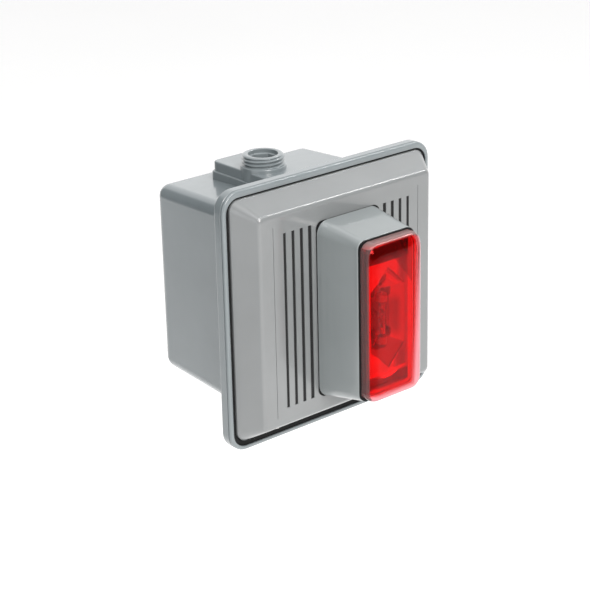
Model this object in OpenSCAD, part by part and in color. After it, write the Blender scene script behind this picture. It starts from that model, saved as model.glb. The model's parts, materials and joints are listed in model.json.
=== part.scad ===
// Outdoor horn strobe: a vibrating horn behind a slotted cover, with a red xenon strobe on its front,
// on a weatherproof back box that takes half-inch conduit on its top.
// Frame: origin at the centre of the back box's rear face, which lies on the wall. -Y is the front,
// +Z is up, +X is to the right seen from the front. Millimetres.

/* [Back box] */
// Width and height of the square flange
flange_w = 130; // [124:1:134]
// Thickness of the flange, front lip to back edge
flange_t = 7; // [6.5:0.5:9]
// Corner radius of the flange
flange_r = 9.5; // [8:0.5:14]
// Depth of the box, from the front lip to the wall
box_depth = 76; // [74:1:90]
// Width of the box at the wall
box_w = 96; // [94:1:97]
// Height of the box at the wall
box_h = 96.7; // [94:1:97]
// Distance the box sits above the flange's centre
box_rise = 0.9; // [0:0.1:1]
// Outward draft of each box side from the wall to the flange
box_draft = 2.7; // [1:0.1:3]
// Radius on the box's outside edges
box_edge_r = 6; // [4:0.5:7]
// Wall thickness of the box
box_wall = 3; // [2.5:0.1:3.5]
// Width of the flange's front lip, outside the gasket
lip_w = 2.1; // [1.8:0.1:3]
// Width of the lip along the top
lip_top_w = 3.1; // [2:0.1:3.4]
// Depth of the recess that holds the gasket and the cover
recess_d = 3.4; // [3:0.1:3.6]

/* [Conduit entry] */
// Sideways place of the conduit nipple
entry_x = -12.4; // [-14:0.1:0]
// Distance of the nipple's axis from the wall
entry_from_wall = 41.3; // [38:0.1:46]
// Height of the raised pad above the flange's centre
pad_top = 59.2; // [58:0.1:61]
// Width of the raised pad
pad_w = 21.4; // [21:0.1:23]
// Diameter of the round collar on the pad
collar_d = 22.4; // [22:0.1:24]
// Height of the collar above the pad
collar_h = 1.9; // [1.5:0.1:3]
// Outside diameter of the nipple's thread
thread_d = 20.7; // [20.5:0.1:21.3]
// Pitch of the nipple's thread
thread_pitch = 1.814; // [1.5:0.001:2]
// Length of the thread above the collar
thread_len = 5.4; // [5:0.1:9]
// Diameter of the nipple's bore
nipple_bore_d = 14.6; // [14:0.1:15.8]

/* [Cover] */
// Width of the cover at its base
cover_w = 122; // [120:0.5:123]
// Height of the cover at its base
cover_h = 121; // [119:0.5:122]
// Distance the cover sits above the flange's centre
cover_up = 0.5; // [0:0.1:0.6]
// Inward lean of each bevel, from the base to the flat face
bevel_in = 7.4; // [6:0.1:9]
// Height of the cover's flat face in front of the lip
cover_rise = 12.2; // [11.5:0.1:14]
// Wall thickness of the cover
cover_wall = 2.4; // [2:0.1:2.6]
// Number of slots on each side of the strobe
slot_count = 4; // [3:1:4]
// Distance of the innermost slot from the centre
slot_first = 23.7; // [23.4:0.1:25]
// Distance from slot to slot
slot_pitch = 5.1; // [4.8:0.1:5.2]
// Length of the slots
slot_len = 88; // [70:1:90]
// Width of the innermost slot
slot_w_inner = 2.0; // [1.6:0.1:2.4]
// Width of the outermost slot
slot_w_outer = 1.4; // [1.2:0.1:2]

/* [Strobe] */
// Width of the strobe housing at the cover
housing_w = 40.4; // [39:0.1:41]
// Height of the strobe housing at the cover
housing_h = 89.8; // [88:0.1:91]
// Depth of the strobe housing
housing_depth = 25.6; // [24:0.1:27]
// Width of the housing at the lens
housing_front_w = 35; // [34.6:0.1:36]
// Height of the housing at the lens
housing_front_h = 81; // [80:0.1:82]
// Distance the lens sits above the centre
lens_rise = 0.6; // [0:0.1:1]
// Depth of the lens in front of its gasket
lens_depth = 7.5; // [5:0.1:9]
// Width of the lens
lens_w = 33.6; // [33:0.1:33.8]
// Height of the lens
lens_h = 79.2; // [78:0.1:79.4]
// Thickness of the lens's wall
lens_wall = 1.8; // [1.5:0.1:2.2]

/* [Horn] */
// Diameter of the steel diaphragm
diaphragm_d = 78; // [76:1:80]
// Outside diameter of the coil winding
coil_d = 24; // [20:0.5:26]
// Length of the coil between the bobbin's cheeks
coil_len = 17; // [14:0.5:18]

/* [Hidden] */
$fn = 64;

grey = "#8e979a";
black = "#16181a";
steel = "#b9bcbe";
zinc = "#c3c2b4";
brass = "#c9a24a";

// Places along Y, from the wall out to the front
lip_y = -box_depth;
flange_back_y = lip_y + flange_t;
recess_y = lip_y + recess_d;
face_y = lip_y - cover_rise;
lens_gasket_t = 1.0;
housing_gasket_t = 0.5;
housing_y = face_y - housing_gasket_t;
housing_front_y = housing_y - housing_depth;
lens_base_y = housing_front_y - lens_gasket_t;
lens_front_y = lens_base_y - lens_depth;

// Outline of the recess and the pieces in it
recess_w = flange_w - 2 * lip_w;
recess_h = flange_w - lip_w - lip_top_w;
recess_z = (lip_w - lip_top_w) / 2;
recess_r = flange_r - lip_w;
cover_r = recess_r - (recess_w - cover_w) / 2;

// Rounded rectangle, centred: a cross of two rectangles and four round corners
module rrect(w, h, r) {
    square([w - 2 * r, h], center = true);
    square([w, h - 2 * r], center = true);
    for (x = [-1, 1], z = [-1, 1]) translate([x * (w / 2 - r), z * (h / 2 - r)]) circle(r);
}

// A flat outline stood up in the XZ plane, filling Y from y0 to y1
module stand(y0, y1) {
    translate([0, y1, 0]) rotate([90, 0, 0]) linear_extrude(y1 - y0) children();
}

module slab(w, h, r, y0, y1) { stand(y0, y1) rrect(w, h, r); }

// Cylinder along Y from y0 to y1, at [x, z]
module rod_y(d, x, z, y0, y1) {
    translate([x, y1, z]) rotate([90, 0, 0]) cylinder(d = d, h = y1 - y0);
}

// Hexagonal bar along Y
module hex_y(af, x, z, y0, y1) {
    translate([x, y1, z]) rotate([90, 0, 0]) cylinder(d = af / cos(30), h = y1 - y0, $fn = 6);
}

// Pan-head screw along Y: the head sits in front of head_y and the shank runs to the wall side
module screw_y(x, z, head_y, head_d, head_h, d, len, slot = true) {
    difference() {
        union() {
            rod_y(head_d, x, z, head_y - head_h, head_y);
            rod_y(d, x, z, head_y - head_h / 2, head_y + len);
        }
        if (slot) translate([x, head_y - head_h, z])
            cube([head_d * 1.2, head_h * 0.9, head_d * 0.16], center = true);
    }
}

// Four places at the corners of a w by h rectangle
function corners(w, h) = [for (x = [-1, 1], z = [-1, 1]) [x * w / 2, z * h / 2]];

// ---------------------------------------------------------------- back box

plate_screw_at = corners(78, 78);
wall_hole_at = corners(60, 60);
boss_d = 9;
boss_y = -71.4;
screw_hole_d = 3.2;
wall_hole_d = 5.5;
cover_screw_x = 38;
cover_screw_z = -56.2;
cover_screw_d = 3.5;
cover_boss_len = 12;

function box_half_w(y) = box_w / 2 - box_draft * y / (box_depth - flange_t);
function box_half_h(y) = box_h / 2 - box_draft * y / (box_depth - flange_t);

// Drafted box with round side edges and a round rear edge: r is both radii
module box_body(inset, r, rear_y, front_y) {
    w = 2 * (box_half_w(0) - inset);
    h = 2 * (box_half_h(0) - inset);
    translate([0, 0, box_rise]) hull() {
        slab(2 * (box_half_w(front_y) - inset), 2 * (box_half_h(front_y) - inset), r, front_y, front_y + 0.05, $fn = 32);
        for (k = [0 : 4]) {
            lean = r * (1 - cos(k * 22.5));
            slab(w - 2 * lean, h - 2 * lean, r - lean + 0.1, rear_y - r + r * sin(k * 22.5) - 0.05,
                rear_y - r + r * sin(k * 22.5), $fn = 32);
        }
    }
}

// Raised pad under the conduit entry: two tiers, round at the back
module entry_pad() {
    pad_back = 14.5;
    tier_h = 5;
    pad_len = box_depth - flange_t - pad_back;
    for (tier = [[pad_w + 1.6, pad_top - tier_h, 0.8], [pad_w, pad_top, 0]])
        translate([entry_x, flange_back_y + pad_len / 2 + tier[2] / 2, box_half_h(0) - 6])
            linear_extrude(tier[1] - box_half_h(0) + 6) {
                rrect(tier[0], pad_len + tier[2], 3);
                translate([0, -pad_len / 4]) square([tier[0], pad_len / 2 + tier[2]], center = true);
            }
}

seat_z = 46.4;
ground_x = -26;
ground_z = 14;
ground_boss_y = -12;

module back_box_outside() {
    box_body(0, box_edge_r, 0, flange_back_y);
    slab(flange_w, flange_w, flange_r, lip_y, flange_back_y);
    entry_pad();
    translate([entry_x, -entry_from_wall, pad_top - 5]) cylinder(d = collar_d, h = 5 + collar_h);
}

// Outline of the recess between two places along Y
module recess_slab(y0, y1) { translate([0, 0, recess_z]) slab(recess_w, recess_h, recess_r, y0, y1); }

// Fine groove round the flange's edge
module flange_groove() {
    difference() {
        slab(flange_w + 4, flange_w + 4, flange_r + 2, lip_y + 1.1, lip_y + 1.9);
        slab(flange_w - 1.6, flange_w - 1.6, flange_r - 0.8, lip_y, lip_y + 3);
    }
}

module back_box_bosses() {
    // Posts that the horn's base plate screws to
    intersection() {
        box_body(1, box_edge_r - 1, -1, flange_back_y - 4);
        for (p = plate_screw_at) {
            rod_y(boss_d, p[0], p[1], boss_y, 0);
            translate([p[0] + sign(p[0]) * 3, boss_y / 2, p[1] + sign(p[1]) * 3])
                cube([7, -boss_y, 7], center = true);
        }
    }
    rod_y(9, ground_x, ground_z, ground_boss_y, -1);
    for (x = [-1, 1]) rod_y(8, x * cover_screw_x, cover_screw_z, recess_y, recess_y + cover_boss_len);
    // Flat seat for the nipple's locknut
    translate([entry_x, -entry_from_wall, seat_z]) cylinder(d = 31, h = 3);
}

module back_box() {
    // Mouth a little narrower than the drafted cavity behind it
    mouth_w = 2 * (box_half_w(flange_back_y) - box_wall) - 0.4;
    mouth_h = 2 * (box_half_h(flange_back_y) - box_wall - box_rise) - 0.4;
    color(grey) difference() {
        union() {
            difference() {
                back_box_outside();
                box_body(box_wall, box_edge_r - box_wall, -box_wall, recess_y + 1);
                slab(mouth_w, mouth_h, 4, lip_y - 1, recess_y + 6);
                recess_slab(lip_y - 1, recess_y);
                flange_groove();
            }
            back_box_bosses();
        }
        translate([entry_x, -entry_from_wall, 30]) cylinder(d = shank_hole_d, h = 40);
        for (p = wall_hole_at) rod_y(wall_hole_d, p[0], p[1], -10, 1);
        for (p = plate_screw_at) rod_y(screw_hole_d, p[0], p[1], boss_y - 1, boss_y + 16);
        rod_y(screw_hole_d, ground_x, ground_z, ground_boss_y - 1, ground_boss_y + 8);
        for (x = [-1, 1]) rod_y(cover_screw_d + 0.1, x * cover_screw_x, cover_screw_z, recess_y - 1,
            recess_y + cover_boss_len - 2);
    }
}

// ---------------------------------------------------------------- conduit nipple

nipple_top = pad_top + collar_h + thread_len;
locknut_t = 3.4;
nipple_bottom = seat_z - locknut_t - 1.2;
groove_depth = 0.8;
shank_step = 0.6;
shank_hole_d = thread_d - 2 * shank_step + 0.1;
hex_socket_af = 12.4;

// Close nipple: thread cut as V grooves one pitch apart, chamfered rim, hexagon inside for the key
module conduit_nipple() {
    r = thread_d / 2;
    color(grey) translate([entry_x, -entry_from_wall, 0]) difference() {
        union() {
            translate([0, 0, nipple_bottom]) cylinder(r = r - shank_step, h = nipple_top - nipple_bottom);
            translate([0, 0, pad_top + collar_h]) cylinder(r = r, h = thread_len);
        }
        for (i = [0 : 1]) translate([0, 0, nipple_top - 1.9 - i * thread_pitch]) rotate_extrude()
            polygon([[r - groove_depth, 0], [r + 1, -0.9], [r + 1, 0.9]]);
        translate([0, 0, nipple_top]) rotate_extrude()
            polygon([[r - 1, 0.1], [r + 1, 0.1], [r + 1, -1.9], [r - 0.05, -0.95]]);
        translate([0, 0, nipple_bottom - 1]) cylinder(d = hex_socket_af / cos(30), h = 40, $fn = 6);
        translate([0, 0, nipple_top - 2.2]) cylinder(d = nipple_bore_d, h = 3);
        translate([0, 0, nipple_bottom - 1]) cylinder(d = nipple_bore_d, h = 10);
    }
}

module nipple_locknut() {
    color(zinc) translate([entry_x, -entry_from_wall, seat_z - locknut_t]) difference() {
        cylinder(d = 27 / cos(30), h = locknut_t, $fn = 6);
        translate([0, 0, -1]) cylinder(d = shank_hole_d, h = locknut_t + 2);
    }
}

// ---------------------------------------------------------------- gasket and ground screw

gasket_floor_t = 1.2;
gasket_under_rim = 1.5;

// L-shaped rubber ring: the cover stands on its floor and its rim fills the gap to the lip
module cover_gasket() {
    color(black) difference() {
        recess_slab(lip_y + 0.6, recess_y);
        translate([0, 0, cover_up]) {
            slab(cover_w + 0.6, cover_h + 0.6, cover_r + 0.3, lip_y - 1, recess_y - gasket_floor_t);
            slab(cover_w - 2 * gasket_under_rim, cover_h - 2 * gasket_under_rim, 4, lip_y - 1, recess_y + 1);
        }
    }
}

module ground_screw() {
    color("#4f7f52") screw_y(ground_x, ground_z, ground_boss_y, 7, 2.4, 3, 6);
}

// ---------------------------------------------------------------- base plate of the horn

plate_t = 1.2;
plate_y = boss_y - plate_t;
plate_w = 91;
plate_hole_d = 40;
yoke_foot_x = 29;
bracket_x = 28;
bracket_hole_z = [20.5, 27];
socket_z = -41.6;
socket_pin_x = 3;
ring_screw_r = 34.5;
ring_screw_count = 6;

function ring_screw_at(i) = [ring_screw_r * cos(i * 60 + 30), ring_screw_r * sin(i * 60 + 30)];

module base_plate() {
    color(steel) difference() {
        slab(plate_w, plate_w, 3, plate_y, boss_y);
        rod_y(plate_hole_d, 0, 0, plate_y - 1, boss_y + 1);
        for (p = plate_screw_at) rod_y(3.4, p[0], p[1], plate_y - 1, boss_y + 1);
        for (i = [0 : ring_screw_count - 1])
            rod_y(2.5, ring_screw_at(i)[0], ring_screw_at(i)[1], plate_y - 1, boss_y + 1);
        for (x = [-1, 1]) {
            rod_y(3.2, x * yoke_foot_x, 0, plate_y - 1, boss_y + 1);
            rod_y(3, x * socket_pin_x, socket_z, plate_y - 1, boss_y + 1);
        }
        for (z = bracket_hole_z) rod_y(2.4, bracket_x, z, plate_y - 1, boss_y + 1);
    }
}

module base_plate_screws() {
    color(zinc) for (p = plate_screw_at) screw_y(p[0], p[1], plate_y, 6, 2.2, 3, 11);
}

// ---------------------------------------------------------------- electromagnet

coil_x = -3;
yoke_t = 2;
yoke_w = 20;
yoke_half = 24;
web_y = -40;
cheek_t = 1.5;
core_d = 9;
pole_y = web_y - coil_len - 2 * cheek_t - 1;
arm_back_y = pole_y - 1.2;
arm_t = 2;
pivot_x = 18;
pivot_y = arm_back_y - arm_t / 2;
pin_d = 2;

module yoke_box(x0, x1, y0, y1, z0, z1) { translate([x0, y0, z0]) cube([x1 - x0, y1 - y0, z1 - z0]); }

// U-shaped steel bracket: two feet on the base plate, a web behind the coil, two ears for the pivot
module magnet_yoke() {
    h = yoke_w / 2;
    color(steel) difference() {
        union() {
            yoke_box(-yoke_half, yoke_half, web_y, web_y + yoke_t, -h, h);
            for (s = [-1, 1]) {
                yoke_box(min(s * yoke_half, s * (yoke_half - yoke_t)), max(s * yoke_half, s * (yoke_half - yoke_t)),
                    boss_y, web_y + yoke_t, -h, h);
                yoke_box(min(s * yoke_half, s * (yoke_half + 11)), max(s * yoke_half, s * (yoke_half + 11)),
                    boss_y, boss_y + yoke_t, -h, h);
                yoke_box(pivot_x - 3, yoke_half, pivot_y - 3, pivot_y + 3,
                    s > 0 ? h - 1.5 : -h, s > 0 ? h : -h + 1.5);
            }
        }
        // Window that the armature's tail passes through
        yoke_box(yoke_half - yoke_t - 1, yoke_half + 1, pivot_y - 2.4, pivot_y + 3.4, -arm_h / 2 - 0.8,
            arm_h / 2 + 0.8);
        translate([pivot_x, pivot_y, -h - 1]) cylinder(d = pin_d, h = yoke_w + 2);
        rod_y(3.4, coil_x, 0, web_y - 1, web_y + yoke_t + 1);
        for (s = [-1, 1]) rod_y(3.2, s * yoke_foot_x, 0, boss_y - 1, boss_y + yoke_t + 1);
    }
}

module yoke_screws() {
    color(zinc) mirror([0, 1, 0]) for (s = [-1, 1])
        screw_y(s * yoke_foot_x, 0, -(boss_y + yoke_t), 5.5, 2, 3, yoke_t + plate_t);
}

module magnet_core() {
    color(steel) difference() {
        rod_y(core_d, coil_x, 0, pole_y, web_y);
        rod_y(3, coil_x, 0, web_y - 8, web_y + 1);
    }
}

module core_screw() {
    color(zinc) mirror([0, 1, 0]) screw_y(coil_x, 0, -(web_y + yoke_t), 5.5, 2, 3, yoke_t + 7);
}

module coil_bobbin() {
    color("#2b2b2b") difference() {
        union() {
            rod_y(core_d + 2, coil_x, 0, pole_y + 1, web_y);
            for (y = [pole_y + 1, web_y - cheek_t]) rod_y(coil_d + 3, coil_x, 0, y, y + cheek_t);
        }
        rod_y(core_d, coil_x, 0, pole_y - 1, web_y + 1);
    }
}

module coil_winding() {
    color("#9a5a2c") difference() {
        rod_y(coil_d, coil_x, 0, pole_y + 1 + cheek_t, web_y - cheek_t);
        rod_y(core_d + 2, coil_x, 0, pole_y - 1, web_y + 1);
    }
}

// ---------------------------------------------------------------- armature

arm_tip_x = -16;
arm_tail_x = 32;
arm_h = 12;
striker_x = 1;
striker_tip_y = -73.3;

module armature() {
    color(steel) difference() {
        union() {
            yoke_box(arm_tip_x, pivot_x, pivot_y - arm_t / 2, pivot_y + arm_t / 2, -arm_h / 2, arm_h / 2);
            yoke_box(pivot_x, arm_tail_x, pivot_y - arm_t / 2, pivot_y + arm_t / 2, -4, 4);
            translate([pivot_x, pivot_y, -arm_h / 2]) cylinder(d = 5, h = arm_h);
        }
        translate([pivot_x, pivot_y, -arm_h]) cylinder(d = pin_d + 0.1, h = 2 * arm_h);
        rod_y(2, striker_x, 0, pivot_y - 2, pivot_y + 2);
        rod_y(2, bracket_x, 0, pivot_y - 2, pivot_y + 2);
    }
}

module armature_pin() {
    color(steel) translate([pivot_x, pivot_y, -yoke_w / 2 - 1]) {
        cylinder(d = pin_d, h = yoke_w + 2);
        translate([0, 0, -0.8]) cylinder(d = 3.6, h = 0.8);
    }
}

module striker_pin() {
    color(brass) {
        rod_y(3.2, striker_x, 0, striker_tip_y, pivot_y - arm_t / 2);
        rod_y(2, striker_x, 0, pivot_y - arm_t / 2 - 1, pivot_y + arm_t / 2);
    }
}

module moving_contact() {
    color("#d8d8d8") {
        rod_y(4, bracket_x, 0, arm_back_y, arm_back_y + 0.8);
        rod_y(2, bracket_x, 0, arm_back_y - arm_t, arm_back_y + 0.4);
    }
}

// Leaf spring from the yoke's side wall to the back of the armature's tip
module return_spring() {
    color("#b08d57") translate([0, 0, -3]) linear_extrude(6) polygon([
        [-22, -52], [-22, -58], [arm_tip_x - 2.5, arm_back_y + 0.5], [arm_tip_x + 3, arm_back_y + 0.25],
        [arm_tip_x + 3, arm_back_y + 0.6], [arm_tip_x - 2, arm_back_y + 1], [-21.6, -57.8], [-21.6, -52]]);
}

// ---------------------------------------------------------------- contacts and tone adjustment

bracket_y = -56;
bracket_t = 1;
contact_tip_y = arm_back_y + 0.85;
tone_screw_d = 2.9;

// Insulating post on the base plate, clear of the yoke
module contact_insulator() {
    color("#7a4a2a") difference() {
        yoke_box(bracket_x - 4.5, bracket_x + 4.5, boss_y, bracket_y, 16.5, 31);
        for (z = bracket_hole_z) rod_y(2.4, bracket_x, z, boss_y - 1, bracket_y + 1);
    }
}

module contact_bracket() {
    color(brass) difference() {
        yoke_box(bracket_x - 4, bracket_x + 4, bracket_y, bracket_y + bracket_t, -4, 31);
        rod_y(tone_screw_d + 0.1, bracket_x, 0, bracket_y - 1, bracket_y + bracket_t + 1);
        for (z = bracket_hole_z) rod_y(2.4, bracket_x, z, bracket_y - 1, bracket_y + bracket_t + 1);
    }
}

module bracket_screws() {
    color(zinc) mirror([0, 1, 0]) for (z = bracket_hole_z)
        screw_y(bracket_x, z, -(bracket_y + bracket_t), 4.2, 1.6, 2.2, bracket_y + bracket_t - plate_y);
}

tone_locknut_t = 1.6;

module tone_screw() {
    head_y = bracket_y + bracket_t + tone_locknut_t + 1.2;
    color(brass) mirror([0, 1, 0]) {
        screw_y(bracket_x, 0, -head_y, 5, 1.6, tone_screw_d, head_y - contact_tip_y - 1.5);
        rod_y(2, bracket_x, 0, -contact_tip_y - 2, -contact_tip_y);
    }
}

module tone_locknut() {
    color(brass) difference() {
        hex_y(5.5, bracket_x, 0, bracket_y + bracket_t, bracket_y + bracket_t + tone_locknut_t);
        rod_y(tone_screw_d + 0.1, bracket_x, 0, bracket_y, bracket_y + 4);
    }
}

// ---------------------------------------------------------------- diaphragm

dia_gasket_t = 0.8;
dia_t = 0.4;
dia_ring_t = 1.6;
ring_in_d = 62;

module washer_y(od, id, y0, y1) { difference() { rod_y(od, 0, 0, y0, y1); rod_y(id, 0, 0, y0 - 1, y1 + 1); } }

module ring_holes(d) { for (i = [0 : ring_screw_count - 1]) rod_y(d, ring_screw_at(i)[0], ring_screw_at(i)[1], -90, -60); }

module diaphragm_gasket() {
    color("#3a3a38") difference() {
        washer_y(diaphragm_d, ring_in_d, plate_y - dia_gasket_t, plate_y);
        ring_holes(3);
    }
}

module diaphragm() {
    y1 = plate_y - dia_gasket_t;
    color(steel) difference() {
        rod_y(diaphragm_d, 0, 0, y1 - dia_t, y1);
        ring_holes(3);
    }
}

module diaphragm_ring() {
    y1 = plate_y - dia_gasket_t - dia_t;
    color(zinc) difference() {
        washer_y(diaphragm_d, ring_in_d, y1 - dia_ring_t, y1);
        ring_holes(3);
    }
}

module ring_screws() {
    color(zinc) for (i = [0 : ring_screw_count - 1])
        screw_y(ring_screw_at(i)[0], ring_screw_at(i)[1], plate_y - dia_gasket_t - dia_t - dia_ring_t,
            4.6, 1.6, 2.5, dia_gasket_t + dia_t + dia_ring_t + plate_t);
}

// ---------------------------------------------------------------- electrical pieces on the base plate

module noise_capacitor() {
    color("#b5452c") yoke_box(-31, -17, boss_y, boss_y + 7, 21, 29);
}

terminal_z = -31;
terminal_pitch = 9;
terminal_count = 4;
terminal_h = 11;

function terminal_x(i) = (i - (terminal_count - 1) / 2) * terminal_pitch;

module terminal_block() {
    color("#2f3133") difference() {
        yoke_box(-20, 20, boss_y, boss_y + terminal_h, terminal_z - 6, terminal_z + 6);
        for (i = [0 : terminal_count - 1]) {
            yoke_box(terminal_x(i) - 3.4, terminal_x(i) + 3.4, boss_y + 6, boss_y + terminal_h + 1,
                terminal_z - 7, terminal_z + 3);
            rod_y(3, terminal_x(i), terminal_z - 1, boss_y + 2, boss_y + terminal_h);
        }
    }
}

module terminal_screws() {
    color(zinc) mirror([0, 1, 0]) for (i = [0 : terminal_count - 1])
        screw_y(terminal_x(i), terminal_z - 1, -(boss_y + 6.8), 5.6, 1.8, 3, 4.6);
    color(zinc) for (i = [0 : terminal_count - 1]) difference() {
        yoke_box(terminal_x(i) - 3.2, terminal_x(i) + 3.2, boss_y + 6, boss_y + 6.8, terminal_z - 5, terminal_z + 2.8);
        rod_y(2.8, terminal_x(i), terminal_z - 1, boss_y + 5, boss_y + 8);
    }
}

// ---------------------------------------------------------------- leads

// Point on a smooth curve through four neighbouring points
function blend4(a, b, c, d, t) = 0.5 * (2 * b + (c - a) * t + (2 * a - 5 * b + 4 * c - d) * t * t
    + (3 * b - a - 3 * c + d) * t * t * t);

function smooth(p, n) = [for (i = [0 : len(p) - 2], k = [0 : n - 1])
    blend4(p[max(i - 1, 0)], p[i], p[i + 1], p[min(i + 2, len(p) - 1)], k / n), p[len(p) - 1]];

function unit(v) = v / norm(v);

// Side direction of each ring, carried along the route so that the wire doesn't twist
function carry(u, t) = unit(u - (u * t) * t);
function carried(ts, i, u) = i == len(ts) ? [] : let (v = carry(u, ts[i])) concat([v], carried(ts, i + 1, v));

// Round wire swept along a route: rings of eight points, each square to the route
module wire(route, d, steps = 3) {
    p = smooth(route, steps);
    n = len(p);
    sides = 8;
    ts = [for (i = [0 : n - 1]) unit(p[min(i + 1, n - 1)] - p[max(i - 1, 0)])];
    us = carried(ts, 0, cross(ts[0], [0.3, 0.5, 0.81]));
    pts = [for (i = [0 : n - 1], k = [0 : sides - 1])
        p[i] + d / 2 * (cos(k * 45) * us[i] + sin(k * 45) * cross(ts[i], us[i]))];
    faces = concat([[for (k = [0 : sides - 1]) k]],
        [[for (k = [0 : sides - 1]) (n - 1) * sides + sides - 1 - k]],
        [for (i = [0 : n - 2], k = [0 : sides - 1]) let (a = i * sides + k, b = i * sides + (k + 1) % sides)
            [b, a, a + sides, b + sides]]);
    polyhedron(points = pts, faces = faces, convexity = 6);
}

lead_d = 1.6;

terminal_lead_z = terminal_z + 2.6;

module coil_leads() {
    for (s = [-1, 1]) color(s > 0 ? "#7d2f2a" : "#2a2a2a")
        wire([[coil_x + s * 3, -55, -11.6], [coil_x + s * 4, -56, -16], [s * 4.5, -59.5, -20],
            [s * terminal_pitch / 2, -63.6, -23.5], [s * terminal_pitch / 2, -64.6, terminal_lead_z]], lead_d);
}

module supply_leads() {
    for (s = [-1, 1]) color(s > 0 ? "#7d2f2a" : "#2a2a2a")
        wire([[s * socket_pin_x, boss_y + 0.6, socket_z], [s * 4.2, boss_y + 3, socket_z],
            [s * 8, boss_y + 6.2, -41.4], [s * 12, boss_y + 8.1, -40.4],
            [s * terminal_pitch * 1.5, boss_y + 7.8, terminal_z - 4.6]], lead_d);
}

// ---------------------------------------------------------------- strobe socket on the base plate

socket_front_y = -79;

module strobe_socket() {
    color("#e8e4d8") difference() {
        union() {
            yoke_box(-8, 8, socket_front_y, plate_y, socket_z - 2.4, socket_z + 2.4);
            for (s = [-1, 1]) rod_y(3, s * socket_pin_x, socket_z, plate_y - 1, boss_y + 0.6);
        }
        for (s = [-1, 1]) rod_y(1.7, s * socket_pin_x, socket_z, socket_front_y - 1, socket_front_y + 5);
    }
}

// ---------------------------------------------------------------- front cover

cover_back_y = recess_y - gasket_floor_t;
cover_in_y = face_y + cover_wall;
pocket_d = 6.4;
pocket_y = -77.2;
retainer_y = -74.6;
retainer_d = 5.4;
housing_screw_at = corners(28, 77.2);
lead_hole_z = -33;

// Square cover body with four bevels, from y_back to y_front
module cover_body(inset, r, y_back, y_front) {
    in = 2 * (bevel_in + inset);
    translate([0, 0, cover_up]) hull() {
        slab(cover_w - 2 * inset, cover_h - 2 * inset, r, lip_y, y_back, $fn = 32);
        slab(cover_w - in, cover_h - in, 1.8, y_front, y_front + 0.05, $fn = 32);
    }
}

module front_cover() {
    color(grey) difference() {
        union() {
            difference() {
                cover_body(0, cover_r, cover_back_y, face_y);
                cover_body(cover_wall, 3, cover_back_y + 1, cover_in_y);
            }
            intersection() {
                cover_body(0, cover_r, cover_back_y, face_y);
                for (x = [-1, 1]) rod_y(pocket_d + 2.6, x * cover_screw_x, cover_screw_z, face_y, retainer_y);
            }
        }
        for (x = [-1, 1]) {
            rod_y(pocket_d, x * cover_screw_x, cover_screw_z, face_y - 1, pocket_y);
            rod_y(cover_screw_d + 0.2, x * cover_screw_x, cover_screw_z, face_y, recess_y);
            rod_y(retainer_d + 0.2, x * cover_screw_x, cover_screw_z, retainer_y, recess_y);
        }
        for (s = [-1, 1], i = [0 : slot_count - 1]) {
            w = slot_w_inner + (slot_w_outer - slot_w_inner) * i / (slot_count - 1);
            translate([s * (slot_first + i * slot_pitch), face_y + cover_wall / 2, 0])
                cube([w, cover_wall + 2, slot_len], center = true);
        }
        for (p = housing_screw_at) rod_y(3.2, p[0], p[1], face_y - 1, cover_in_y + 1);
        rod_y(8, 0, lead_hole_z, face_y - 1, cover_in_y + 1);
    }
}

// Fine mesh sheets bonded behind the two groups of slots
module dust_screens() {
    w = (slot_count - 1) * slot_pitch + 5;
    color("#232628") for (s = [-1, 1])
        translate([s * (slot_first + (slot_count - 1) * slot_pitch / 2), cover_in_y + 0.3, 0])
            cube([w, 0.6, slot_len + 4], center = true);
}

module cover_screws() {
    color(zinc) for (x = [-1, 1])
        screw_y(x * cover_screw_x, cover_screw_z, pocket_y, pocket_d - 0.6, 2, cover_screw_d, 14);
}

module screw_retainers() {
    color(black) for (x = [-1, 1]) difference() {
        rod_y(retainer_d, x * cover_screw_x, cover_screw_z, retainer_y, retainer_y + 0.8);
        rod_y(cover_screw_d, x * cover_screw_x, cover_screw_z, retainer_y - 1, retainer_y + 2);
    }
}

// ---------------------------------------------------------------- strobe housing

housing_wall = 2.2;
housing_r = 4;
front_r = 4;
lens_mouth_w = 27.6;
lens_mouth_h = 73;
post_at = corners(18, 74.8);
board_y = -103.4;
board_t = 1.6;

module housing_body(inset, y_back, y_front) {
    hull() {
        slab(housing_w - 2 * inset, housing_h - 2 * inset, housing_r - inset / 2, y_back - 0.05, y_back, $fn = 32);
        translate([0, 0, lens_rise]) slab(housing_front_w - 2 * inset, housing_front_h - 2 * inset,
            front_r - inset / 2, y_front, y_front + 0.05, $fn = 32);
    }
}

module housing_gasket() {
    color(black) difference() {
        slab(housing_w - 0.4, housing_h - 0.4, housing_r - 0.2, housing_y, face_y);
        slab(housing_w - 7, housing_h - 7, 2, housing_y - 1, face_y + 1);
    }
}

module strobe_housing() {
    color(grey) difference() {
        union() {
            difference() {
                housing_body(0, housing_y, housing_front_y);
                housing_body(housing_wall, housing_y + 0.05, housing_front_y + housing_wall);
            }
            for (p = post_at) rod_y(4.6, p[0], p[1] + lens_rise, housing_front_y + 1, board_y);
            intersection() {
                housing_body(0, housing_y, housing_front_y);
                for (p = housing_screw_at) rod_y(6.4, p[0], p[1], housing_y - 9, housing_y);
            }
        }
        translate([0, 0, lens_rise]) slab(lens_mouth_w, lens_mouth_h, 3, housing_front_y - 1, housing_front_y + 4);
        for (p = post_at) rod_y(2, p[0], p[1] + lens_rise, board_y - 5, board_y + 1);
        for (p = housing_screw_at) rod_y(2.9, p[0], p[1], housing_y - 7.5, housing_y + 1);
    }
}

module housing_screws() {
    color(zinc) mirror([0, 1, 0]) for (p = housing_screw_at)
        screw_y(p[0], p[1], -cover_in_y, 5.4, 2, 2.9, cover_wall + housing_gasket_t + 7);
}

// ---------------------------------------------------------------- strobe electronics

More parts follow.
